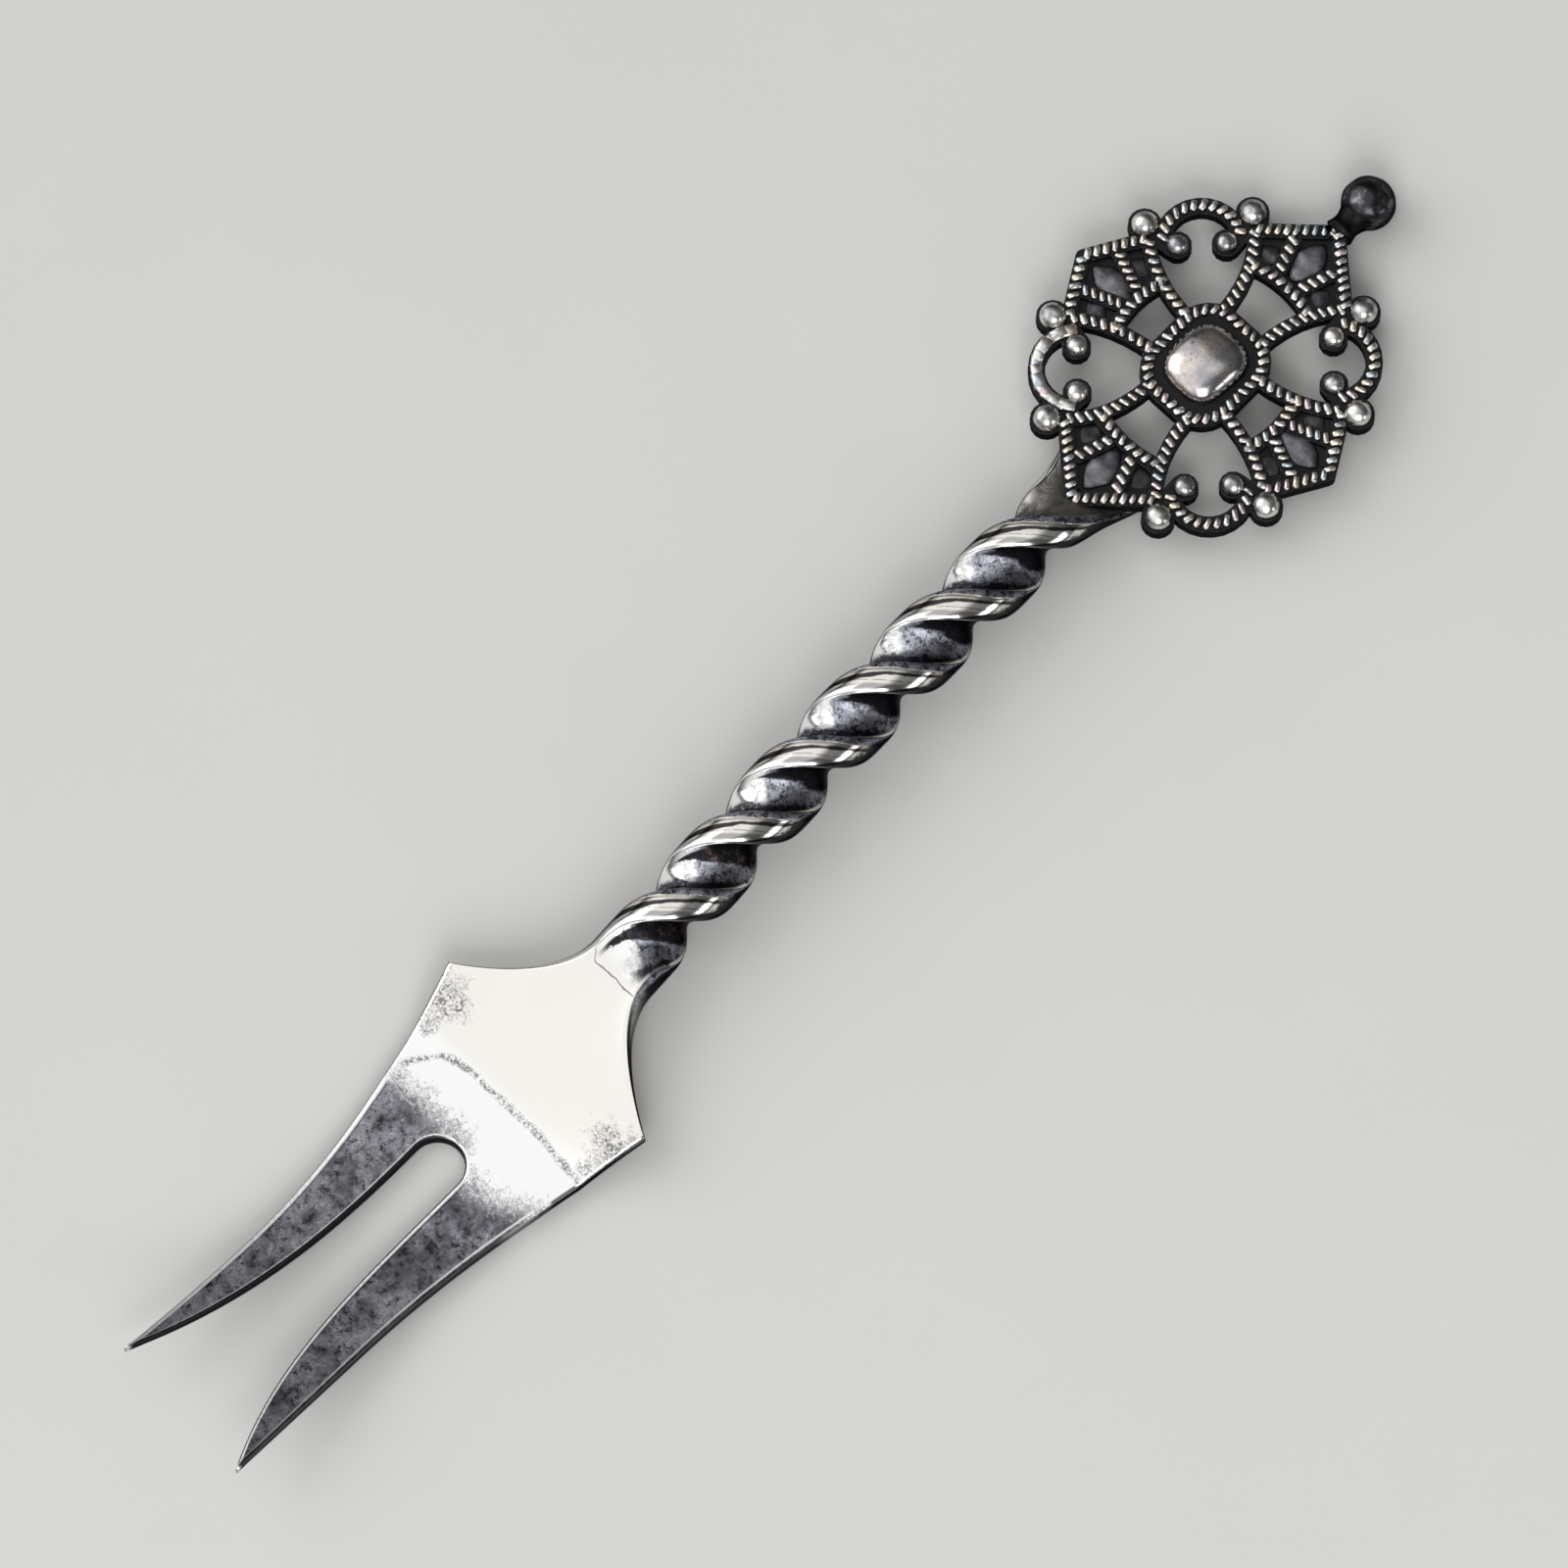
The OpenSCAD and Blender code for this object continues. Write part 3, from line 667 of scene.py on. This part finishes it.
leafLook = {
    "bright": (-0.07, 0.07), "nearNeck": (0.5, 3), "laterOn": (-6, 16),
    "margin": (-0.75, -0.5), "marginLee": (-0.68, -0.52), "marginBreaks": (0.53, 0.63),
    "brim": (-0.94, -0.84), "brimBreaks": (0.36, 0.46),
    "fromNeck": (0, 4), "fromMiddle": (-10, 6), "paintedShadeAndOxide": (0.54, 0.64), "paintedShadeLee": (0.66, 0.76),
    "arrisHighlightFlank": (0.76, 0.84), "arrisHighlightLee": (0.4, 0.52),
    "rust": (0.52, 0.62), "rustLee": (0.3, 0.5), "rustEnd": (-6, 4), "farRim": (-0.96, -0.8),
}


def turnedUp(s):
    # below 0 where a broad face turns to the far side, and above 0 where it turns to the near side
    z = leafLook
    turned = s.lee - s.flank * 0.7 + 0.25 + (s.mottle - 0.5) * 0.5 + (s.fern - 0.5) * 0.6
    return turned - s.x.under(*near(neckX, z["nearNeck"])) * 0.6 + s.x.over(*z["laterOn"]) * 0.25


def paintLeaves(s, tone, grey, turned, leaf):
    # the stem's broad faces: a painted bright reflection where they turn to the far side, then blue-grey,
    # and black under the next edge as painted shade over the oxide
    z = leafLook
    leafTone = turned.over(*z["bright"]).tint(s.look["bright"], grey)
    # dark margins where the face's edge turns to the far side: painted shade
    margin = (s.flank + s.lee * 0.5 + (s.mottle - 0.5) * 0.7).under(*z["margin"])
    farEdge = s.lee + s.flank.least(0) * 0.3 + (s.mottle - 0.5) * 0.3
    margin = margin.most(farEdge.under(*z["marginLee"]))
    margin = margin * (s.fern * 0.6 + s.grit * 0.4).under(*z["marginBreaks"])
    leafTone = (margin * 0.95).tint(leafTone, s.look["leafDark"])
    brim = s.flank.under(*z["brim"]) * s.lee.over(-0.3, 0.0) * s.mottle.over(*z["brimBreaks"])
    leafTone = (brim * 0.9).tint(leafTone, s.look["cream"])
    later = s.x.under(*near(neckX, z["fromNeck"])) * 0.15 + s.x.over(*z["fromMiddle"]) * 0.45
    # black where the face turns to the near side: painted shade and a painted dark reflection over the real
    # oxide, with a reddish tone in it
    paintedShadeAndOxide = s.flank + s.lee + (s.mottle - 0.5) * 0.4 + (s.fern - 0.5) * 0.3 - later
    # a strip along the arris is kept out of the black: a painted highlight
    clear = s.flank.over(*z["arrisHighlightFlank"]) * s.lee.under(*z["arrisHighlightLee"])
    paintedShadeAndOxide = paintedShadeAndOxide.over(*z["paintedShadeAndOxide"]) * (1 - clear).most(0)
    paintedShadeAndOxide = paintedShadeAndOxide.most((s.lee + (s.mottle - 0.5) * 0.3).over(*z["paintedShadeLee"]))
    rusty = s.mottle.over(*z["rust"]) * s.lee.over(*z["rustLee"]) * s.x.under(*z["rustEnd"])
    leafTone = (paintedShadeAndOxide * 0.98).tint(leafTone, rusty.tint(s.look["black"], s.look["rust"]))
    tone = leaf.tint(tone, leafTone)
    # a brown rim where the face looks away at the outline: painted shade
    return (s.lee.under(*z["farRim"]) * s.onStem * 0.95).tint(tone, s.look["brown"])


flareLook = {"from": (-7.0, -4.5), "band": (0.98, 1.1), "marks": (0.38, 0.6), "strength": 0.9}


def paintFlare(s, tone, dull):
    # under the finial: dull and brown
    mark = (s.mottle * 0.6 + s.fern * 0.4).over(*flareLook["marks"]).tint(s.look["flare"], s.look["beige"])
    return (dull * flareLook["strength"]).tint(tone, (0.45 * s.mottle).tint(s.look["flare"], mark))


scribeLook = {"fromNeck": 1.45, "wander": 1.2, "width": (0.02, 0.09), "start": (-2.6, -2.2),
              "end": (2.4, 2.8), "curl": 0.9, "curlFrom": (1.6, 2.6), "strength": 0.8}


def paintScribe(s, tone):
    # a fine line scribed across the neck
    z = scribeLook
    away = s.x - neckX + z["fromNeck"] + (s.cloud - 0.5) * z["wander"]
    away = away - s.side.over(*z["curlFrom"]) * z["curl"]
    line = abs(away).under(*z["width"]) * s.side.over(*z["start"]) * s.side.under(*z["end"]) * s.face
    return (line * z["strength"]).tint(tone, s.look["patch"])


def makeSilver():
    # the fork's colour holds its tarnish together with painted highlights, painted reflections and painted
    # shade
    material, wire, mm = newMaterial("silver_tarnish_and_painted_light")
    s = Silver(wire, mm)
    onTines = tinesShare(s)
    tone = paintWalls(s, paintCheeks(s, paintTines(s, onTines)), onTines)
    grey, turned = mottledGrey(s), turnedUp(s)
    wave = s.flank + (s.cloud - 0.5) * 0.3
    lip = s.band.under(0.97, 1.04) * s.x.over(cornerX + 4, neckX)
    leaf = s.onStem * s.face
    dull = s.x.over(*near(tabX, flareLook["from"])) * s.band.over(*flareLook["band"])
    tone = paintNarrowSides(s, tone, grey, wave, lip)
    tone = paintLeaves(s, tone, grey, turned, leaf)
    tone = paintScribe(s, paintFlare(s, tone, dull))

    # the worked zones are rougher than the polished ones, and their mottling stands up
    worked = (leaf * turned.over(-0.35, -0.1)).most(lip * wave.under(-0.7, -0.6))
    rough = 0.1 + 0.2 * onTines + 0.16 * worked + 0.1 * s.grit + dull * 0.2
    height = s.mottle * (0.15 + onTines * 1.4 + worked * 1.6) + s.fern * (onTines * 1.2 + worked * 1.8)
    height = height + s.grit * 0.15
    closeMaterial(wire, **{"Base Color": tone, "Metallic": 1.0, "Roughness": rough,
                           "Specular Tint": colour(0.35, 0.35, 0.37), "Normal": bumpOf(wire, height, 0.02)})
    return material


fork = finishPiece(makeFork(), "forged_fork", [makeSilver()])
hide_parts("fork_and_stem")


# Lines of the finial's ropes, in the quarter where both places are positive

def bend(a, b, c, count=24):
    a, b, c = Vector(a), Vector(b), Vector(c)
    return [a.lerp(b, i / count).lerp(b.lerp(c, i / count), i / count) for i in range(count + 1)]


def arc(centre, radius, start, end, count=24):
    turns = [math.radians(between(start, end, i / count)) for i in range(count + 1)]
    return [Vector(centre) + radius * Vector((math.cos(turn), math.sin(turn))) for turn in turns]


def polar(radius, turn):
    return radius * Vector((math.cos(math.radians(turn)), math.sin(math.radians(turn))))


def headingOf(line):
    return math.degrees(math.atan2(line.y, line.x))


# degrees round the scroll's middle: its rope's ends past the joints, and its beads past the rope's ends
scrollTurns = {"rope": (-5, 4), "beads": (22, -18), "eyes": (-9, 5), "beadGap": 0.45}

sideBarReach, endBarReach = halfLength - g["sideBarIn"], halfWidth - g["endBarIn"]
sideJoint = Vector((halfLength - g["sidePanelLength"], g["sidePanelWidth"] / 2))
endJoint = Vector((g["endPanelWidth"] / 2, halfWidth - g["endPanelLength"]))
jointLine = endJoint - sideJoint
scrollMiddle = (sideJoint + endJoint) / 2 + g["scrollIn"] * Vector((-jointLine.y, jointLine.x)).normalized()
scrollStart = headingOf(sideJoint - scrollMiddle) + scrollTurns["rope"][0]
scrollEnd = headingOf(endJoint - scrollMiddle) + scrollTurns["rope"][1]
endShoulder = Vector((endJoint.x / 2, endJoint.y + 0.42 * g["endPanelLength"]))
barHalf = g["barWidth"] / 2
sideEdge = bend(sideJoint, (halfLength - 2.9, g["sidePanelWidth"] / 4), (halfLength - barHalf, 0))
ringX, ringY, ringRound = g["ringLength"] / 2, g["ringWidth"] / 2, g["ringRound"]

ropeLines = {
    "sideArm": bend((ringX - 0.2, ringY - 1.7), (sideBarReach - 0.8, 2.3), sideJoint),
    "endArm": bend((ringX - 2.3, ringY + 0.1), (ringX - 2, endBarReach - 0.1), endJoint),
    "sideEdge": sideEdge,
    "endEdge": [endJoint, endShoulder, Vector((0, halfWidth - barHalf))],
    "sideBar": arc((0, 0), sideBarReach, 0, 20),
    "endBar": arc((0, 0), endBarReach, 90, 67),
    "sideRib": [Vector((sideBarReach + 0.5, 1.1)), sideEdge[12] - Vector((0.4, 0.3))],
    "endRib": [Vector((0.85, endBarReach + 0.5)), endShoulder - Vector((0.15, 0.5))],
    "scroll": arc(scrollMiddle, g["scrollRadius"], scrollStart, scrollEnd),
    "ring": ([Vector((ringX, 0))] + arc((ringX - ringRound, ringY - ringRound), ringRound, 0, 90)
             + [Vector((0, ringY))]),
}


def scrollPlaces(reach, turns):
    return [scrollMiddle + polar(reach, end + turn) for end, turn in zip((scrollStart, scrollEnd), turns)]


beadReach = g["scrollRadius"] + g["beadSize"] / 2 + scrollTurns["beadGap"]
beadPlaces = scrollPlaces(beadReach, scrollTurns["beads"])
eyePlaces = scrollPlaces(g["eyeReach"], scrollTurns["eyes"])
quarters = [(1, 1), (-1, 1), (-1, -1), (1, -1)]

# shares of the pitch for widths, and how far each grain may depart from its size, slant and height
ropeSizes = {
    "pitch": 0.78, "length": 1.0, "width": 0.66, "foot": 0.25, "height": 0.38, "slant": 24, "round": 0.14,
    "widthPlay": (0.88, 1.12), "lengthPlay": (0.9, 1.04), "slantPlay": (-5, 5), "heightPlay": (-0.05, 0.03),
    "wornScroll": (-1, 1), "wornWidth": 1.9, "seed": 7,
}


def ontoFinial(bm):
    bmesh.ops.transform(bm, matrix=onFinial, verts=bm.verts[:])
    return bm


def alongLine(line, run):
    for a, b in zip(line, line[1:]):
        length = (b - a).length
        if run <= length or b is line[-1]:
            return a.lerp(b, run / length), math.atan2(b.y - a.y, b.x - a.x)
        run -= length


def makeRopes():
    # slanted grains along every line, and a worn scroll whose broad grains lie square to it
    bm = bmesh.new()
    tone = bm.verts.layers.float.new("tone")
    r = ropeSizes
    rng = random.Random(r["seed"])
    tall = r["foot"] + r["height"]
    for sideX, sideY in quarters:
        for name, line in ropeLines.items():
            laid = [Vector((sideX * p.x, sideY * p.y)) for p in line]
            length = sum((b - a).length for a, b in zip(laid, laid[1:]))
            count = max(2, round(length / r["pitch"]))
            worn = name == "scroll" and (sideX, sideY) == r["wornScroll"]
            for i in range(count):
                place, heading = alongLine(laid, (i + 0.5) * length / count)
                wide = r["wornWidth"] if worn else r["width"] * rng.uniform(*r["widthPlay"])
                size = Vector((length / count * wide, r["length"] * rng.uniform(*r["lengthPlay"]), tall))
                slant = 0 if worn else r["slant"] + rng.uniform(*r["slantPlay"])
                turn = heading - math.radians(slant) * sideX * sideY
                up = g["plate"] + tall / 2 - r["foot"] + rng.uniform(*r["heightPlay"])
                lay = Matrix.LocRotScale(Vector((place.x, place.y, up)), Matrix.Rotation(turn, 3, "Z"), size)
                shade = rng.random()
                for vert in bmesh.ops.create_cube(bm, size=1, matrix=lay)["verts"]:
                    vert[tone] = shade
    bmesh.ops.bevel(bm, geom=bm.edges[:], offset=r["round"], offset_type="OFFSET", segments=1, profile=0.5,
                    affect="EDGES", clamp_overlap=True, material=-1)
    return ontoFinial(bm)


# depth, scale and offset of the noise that makes each cast form a little uneven
dents = {"beads": (0.05, 1.1, 5.0), "boss": (0.14, 0.33, 2.0), "kites": (0.12, 1.1, 9.0),
         "ball": (0.06, 0.9, 1.0)}


def addBall(bm, shape, radius=1, place=(0, 0, 0)):
    return bmesh.ops.create_uvsphere(bm, u_segments=shape["round"], v_segments=shape["down"], radius=radius,
                                     matrix=Matrix.Translation(place))["verts"]


def dented(bm, verts, depth, scale, offset):
    bmesh.ops.recalc_face_normals(bm, faces=bm.faces[:])
    for vert in verts:
        vert.co += vert.normal * depth * noise.noise(vert.co * scale + Vector((offset, 0, 0)))


beadShape = {"round": 28, "down": 18, "seed": 3}


def makeBeads():
    bm = bmesh.new()
    tone = bm.verts.layers.float.new("tone")
    rng = random.Random(beadShape["seed"])
    for sideX, sideY in quarters:
        for place, size in [(p, g["beadSize"]) for p in beadPlaces] + [(p, g["eyeSize"]) for p in eyePlaces]:
            spot = (sideX * place.x, sideY * place.y, g["plate"] - g["beadSink"])
            shade = rng.random()
            for vert in addBall(bm, beadShape, size / 2, spot):
                vert[tone] = shade
    dented(bm, bm.verts, *dents["beads"])
    return ontoFinial(bm)


def squared(place, power):
    # how far a circle's rim moves out: power 2 keeps the circle, more gives a cushion and less a kite
    flat = math.hypot(place.x, place.y)
    if flat <= 1e-6:
        return 1.0
    return (abs(place.x / flat) ** power + abs(place.y / flat) ** power) ** (-1 / power)


bossShape = {"round": 96, "down": 48, "corners": 3, "broad": 2.6, "full": 2.2, "below": 0.3}


def makeBoss():
    # a cushion with rounded corners and a broad, slightly uneven top
    bm = bmesh.new()
    b = bossShape
    boss = addBall(bm, b)
    for vert in boss:
        corner = squared(vert.co, b["corners"])
        high = (1 - min(math.hypot(vert.co.x, vert.co.y), 1) ** b["broad"]) ** (1 / b["full"])
        up = (g["bossHeight"] if vert.co.z > 0 else -b["below"]) * high
        vert.co = (vert.co.x * corner * g["bossLength"] / 2, vert.co.y * corner * g["bossWidth"] / 2,
                   g["plate"] + up)
    dented(bm, boss, *dents["boss"])
    return ontoFinial(bm)


kiteShape = {"round": 40, "down": 20, "corners": 1.4, "armPoint": 18}


def kitePlaces():
    # place, length, width and height of a kite in each middle cell and of a low swelling in each side cell
    long, wide, high, swell = g["kiteLength"], g["kiteWidth"], g["kiteHeight"], g["swellSize"]
    places = []
    for side in (-1, 1):
        places.append((side * (halfLength - g["sideKiteIn"]), 0, long, wide, high))
        places.append((0, side * (halfWidth - g["endKiteIn"]), wide, long, high))
    for sideX, sideY in quarters:
        for rib, arm in (("sideRib", "sideArm"), ("endRib", "endArm")):
            line = ropeLines[rib]
            middle = (line[0] + line[-1]) / 4 + ropeLines[arm][kiteShape["armPoint"]] / 2
            places.append((sideX * middle.x, sideY * middle.y, swell, swell, g["swellHeight"]))
    return places


def makeKites():
    bm = bmesh.new()
    for x, y, long, wide, high in kitePlaces():
        for vert in addBall(bm, kiteShape):
            corner = squared(vert.co, kiteShape["corners"])
            vert.co = (x + vert.co.x * corner * long / 2, y + vert.co.y * corner * wide / 2,
                       g["plate"] - g["cellDepth"] + vert.co.z * high)
    dented(bm, bm.verts, *dents["kites"])
    return ontoFinial(bm)


ballShape = {"round": 96, "down": 64, "room": 0.03}  # room keeps the dents inside the solid's box


def makeBall():
    bm = bmesh.new()
    room = ballShape["room"]
    ball = addBall(bm, ballShape, g["ballSize"] / 2 - room, (ballX - room, 0, g["ballUp"]))
    dented(bm, ball, *dents["ball"])
    return ontoFinial(bm)


# the first ring lies inside the finial's tip; each other one has its place along and its flare
neckShape = {
    "round": 40, "start": 1.2, "startSink": 0.15, "startFlare": 0.2,
    "rings": ((-0.5, 0.16), (-0.1, 0.05), (0.2, 0), (0.5, 0.02), (0.8, 0.1), (1.3, 0.3)),
}


def makeNeck():
    # a short thick neck whose ends flare, which carries the ball; its black is painted shade between the
    # ball and the plate
    bm = bmesh.new()
    n = neckShape
    place = Matrix.Translation((halfLength - n["start"], 0, g["ballUp"] - n["startSink"]))
    loop = bmesh.ops.create_circle(bm, segments=n["round"], radius=g["neckSize"] / 2 + n["startFlare"],
                                   matrix=place @ Matrix.Rotation(math.pi / 2, 4, "Y"))["verts"]
    for x, flare in n["rings"]:
        loop = extruded(bm, loop)
        reach = g["neckSize"] / 2 + flare
        for i, vert in enumerate(loop):
            turn = 2 * math.pi * i / len(loop)
            vert.co = (halfLength + x, reach * math.sin(turn), g["ballUp"] + reach * math.cos(turn))
    return ontoFinial(bm)


plateShape = {"weld": 0.002, "aboveTop": 0.06, "pastTip": 0.1, "cutNear": 0.0001, "flatTurn": 1,
              "rimTurn": 50, "rim": 0.09}


def makePlate():
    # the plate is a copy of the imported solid, cut just above its top face and before the ball
    bm = bmesh.new()
    bm.from_mesh(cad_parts["finial"].data)
    p = plateShape
    bmesh.ops.transform(bm, matrix=onFinial.inverted() @ Matrix.Scale(perMetre, 4), verts=bm.verts[:])
    bmesh.ops.remove_doubles(bm, verts=bm.verts[:], dist=p["weld"])
    for place, away in (((0, 0, g["plate"] + p["aboveTop"]), (0, 0, 1)),
                        ((halfLength + p["pastTip"], 0, 0), (1, 0, 0))):
        cut = bmesh.ops.bisect_plane(bm, geom=bm.verts[:] + bm.edges[:] + bm.faces[:], dist=p["cutNear"],
                                     plane_co=place, plane_no=away, clear_outer=True)["geom_cut"]
        bmesh.ops.holes_fill(bm, edges=[e for e in cut if isinstance(e, bmesh.types.BMEdge)], sides=0)
    flat, sharp = math.radians(p["flatTurn"]), math.radians(p["rimTurn"])
    bmesh.ops.dissolve_limit(bm, angle_limit=flat, verts=bm.verts[:], edges=bm.edges[:])
    rim = [e for e in bm.edges if len(e.link_faces) == 2 and e.calc_face_angle_signed(0) > sharp]
    bmesh.ops.bevel(bm, geom=rim, offset=p["rim"], offset_type="OFFSET", segments=2, profile=0.5,
                    affect="EDGES", clamp_overlap=True, material=1)
    return ontoFinial(bm)


castLook = {
    "black": (0.012, 0.012, 0.013), "pitch": (0.028, 0.028, 0.03), "soot": (0.05, 0.05, 0.055),
    "slate": (0.2, 0.2, 0.215), "grey": (0.26, 0.26, 0.28), "steel": (0.4, 0.4, 0.43),
    "bright": (0.8, 0.78, 0.74), "peach": (0.8, 0.71, 0.64),
    "warm": (0.72, 0.62, 0.5), "cool": (0.5, 0.58, 0.64), "rose": (0.7, 0.56, 0.6),
}

# rubbed: heights above the plate between which the bare metal shows; tones: the metal's darker and lighter
# colour; clouds: scale and limits of the clouds that mix them; hues and veins: strengths
castMetals = {
    "oxidised_plate": {"rubbed": (0.3, 1.0), "tones": ("grey", "bright"), "rough": 0.5, "bump": 0.03,
                       "base": "pitch"},
    "rubbed_edges": {"rubbed": (-1.6, -1.0), "tones": ("grey", "bright"), "rough": 0.35, "bump": 0.02},
    "worn_kites": {"rubbed": (-0.42, 0.25), "tones": ("slate", "grey"), "rough": 0.5, "bump": 0.03,
                   "ragged": 0.6, "base": "soot"},
    # the neck is black all over: painted shade between ball and plate
    "neck_painted_shade": {"rubbed": (0.6, 2.0), "tones": ("black", "soot"), "rough": 0.4, "bump": 0.012},
    "worn_grains": {"rubbed": (0.04, 0.3), "tones": ("grey", "bright"), "rough": 0.3, "bump": 0.012,
                    "ragged": 0.2, "clouds": (0.9, 0.3, 0.5), "hues": 0.7},
    # the beads' black feet are partly patina and partly painted shade where they meet the plate
    "rubbed_beads": {"rubbed": (-0.3, 0.4), "tones": ("grey", "bright"), "rough": 0.28, "bump": 0.01,
                     "ragged": 0.2, "clouds": (0.6, 0.36, 0.62)},
    "rubbed_boss": {"rubbed": (-0.2, 0.5), "tones": ("steel", "peach"), "rough": 0.2, "bump": 0.012,
                    "ragged": 0.2, "clouds": (0.3, 0.38, 0.62), "veins": 0.9},
    "black_ball": {"rubbed": (-2.2, 1.4), "tones": ("soot", "slate"), "rough": 0.24, "bump": 0.012,
                   "ragged": 0.8, "clouds": (0.9, 0.5, 0.7)},
}


def risenAt(wire, mm):
    # height above the plate's top, in millimetres, measured square to the sloping finial
    up = onFinial.to_3x3() @ Vector((0, 0, 1))
    top = finialPlace + up * g["plate"]
    far = wire.add("ShaderNodeVectorMath", {"operation": "DOT_PRODUCT"}, {0: mm, 1: up}, "Value")
    return far - top.dot(up)


def makeCast(name, rubbed, tones, rough, bump, ragged=0.3, clouds=(1.1, 0.42, 0.58), hues=0.0, veins=0.0,
             base="black"):
    # cast silver, black in the hollows and rubbed bright above them; on the neck, and partly at the beads'
    # feet, that black is painted shade
    material, wire, mm = newMaterial(name)
    look = colours(castLook)
    cloud = noiseAt(wire, mm, clouds[0], 4, 0.6, 0.2)
    mottle = noiseAt(wire, mm, 2.0, 5, 0.65, 0.3)
    grit = noiseAt(wire, mm, 6.0, 3, 0.6)
    worn = (risenAt(wire, mm) + (mottle - 0.5) * ragged).over(*rubbed)
    metal = cloud.over(*clouds[1:]).tint(look[tones[0]], look[tones[1]])
    if hues:
        # each grain's own tone picks a hue for it
        tone = markOf(wire, "tone")
        metal = (tone.under(0.06, 0.12) * hues).tint(metal, look["cool"])
        metal = (tone.over(0.88, 0.93) * hues).tint(metal, look["rose"])
        metal = (abs(tone - 0.5).under(0.1, 0.2) * hues).tint(metal, look["warm"])
        metal = (tone.over(0.22, 0.3) * tone.under(0.36, 0.44) * 0.6).tint(metal, look["grey"])
    if veins:
        metal = (veinsAt(wire, mm, 0.55, 0.012) * mottle.over(0.45, 0.6) * veins).tint(metal, look["black"])
        metal = (mottle.under(0.31, 0.36) * veins).tint(metal, look["black"])
    closeMaterial(wire, **{"Base Color": worn.tint(look[base], metal), "Metallic": 1.0,
                           "Roughness": rough + 0.2 * (grit - 0.5), "Specular Tint": colour(0.35),
                           "Normal": bumpOf(wire, mottle + grit * 0.3, bump)})
    return material


metals = {name: makeCast(name, **look) for name, look in castMetals.items()}

plate = finishPiece(makePlate(), "finial_plate", [metals["oxidised_plate"], metals["rubbed_edges"]],
                    smooth=False)
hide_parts("finial")
for bm, name, metal in ((makeKites(), "kites", "worn_kites"), (makeRopes(), "rope_grains", "worn_grains"),
                        (makeBeads(), "beads", "rubbed_beads"), (makeBoss(), "boss", "rubbed_boss"),
                        (makeBall(), "ball", "black_ball"), (makeNeck(), "ball_neck", "neck_painted_shade")):
    finishPiece(bm, name, [metals[metal]])


floorLook = {"half": 1.5, "cloud": 0.03, "darker": (0.63, 0.625, 0.61), "lighter": (0.66, 0.655, 0.64),
             "rough": 0.7}


def makeFloor():
    bm = bmesh.new()
    bmesh.ops.create_grid(bm, x_segments=2, y_segments=2, size=floorLook["half"])
    floor = newObject("floor", newMesh("floor", bm))
    material, wire, mm = newMaterial("pale_floor")
    cloud = noiseAt(wire, mm, floorLook["cloud"], 4)
    tone = cloud.tint(colour(*floorLook["darker"]), colour(*floorLook["lighter"]))
    closeMaterial(wire, **{"Base Color": tone, "Roughness": floorLook["rough"]})
    floor.data.materials.append(material)


studioLook = {
    "bright": 1.02, "dark": 0.07, "haze": 0.12, "hazeFromZ": (0.2, 1.0),
    "darkFromX": (0.27, 0.4), "darkFromY": (-0.5, -0.1), "darkFromZ": (0.1, 0.5),
    "lamps": {
        "key_light": {"place": (-0.42, 0.96, 0.66), "size": 1.1, "watts": 5.5},
        "low_window": {"place": (-0.52, -0.56, 0.66), "size": 0.65, "watts": 5.5},
        "side_window": {"place": (0.21, -0.93, 0.3), "size": 0.24, "watts": 0.7},
    },
}


def makeWorld():
    # a pale sky over the tines' side and the far side, and a dark room behind the ball and the near side
    world = bpy.data.worlds.new("studio")
    bpy.context.scene.world = world
    world.use_nodes = True
    world.node_tree.nodes.clear()
    wire = Wire(world.node_tree)
    way = wire.add("ShaderNodeTexCoord", output="Generated")
    x, y, z = [wire.add("ShaderNodeSeparateXYZ", None, {0: way}, axis) for axis in ("X", "Y", "Z")]
    w = studioLook
    sky = x.under(*w["darkFromX"]) * y.over(*w["darkFromY"]) * z.over(*w["darkFromZ"])
    room = w["dark"] + w["haze"] * z.over(*w["hazeFromZ"])
    glow = (room + (w["bright"] - room) * sky).tint(colour(0), colour(1))
    back = wire.add("ShaderNodeBackground", None, {"Color": glow, "Strength": 1.0})
    wire.add("ShaderNodeOutputWorld", None, {"Surface": back})


def addLamp(name, place, size, watts):
    lamp = bpy.data.lights.new(name, "AREA")
    lamp.energy = watts
    lamp.size = size
    holder = newObject(name, lamp)
    holder.location = place
    holder.rotation_euler = (-Vector(place)).to_track_quat("-Z", "Y").to_euler()


cameraPlace = {"place": (-0.703383, -0.716025, 3.177630), "turn": (17.54869, 0.70008, -46.7146),
               "lens": 967.5, "film": 36, "sees": 50}


def makeCamera():
    data = bpy.data.cameras.new("camera")
    data.lens = cameraPlace["lens"]
    data.sensor_width = cameraPlace["film"]
    data.clip_end = cameraPlace["sees"]
    camera = newObject("camera", data)
    camera.location = cameraPlace["place"]
    camera.rotation_euler = [math.radians(turn) for turn in cameraPlace["turn"]]
    bpy.context.scene.camera = camera


makeCamera()
makeFloor()
makeWorld()
for name, lamp in studioLook["lamps"].items():
    addLamp(name, **lamp)
bpy.context.scene.view_settings.view_transform = "Standard"
print("floor, light and camera set")
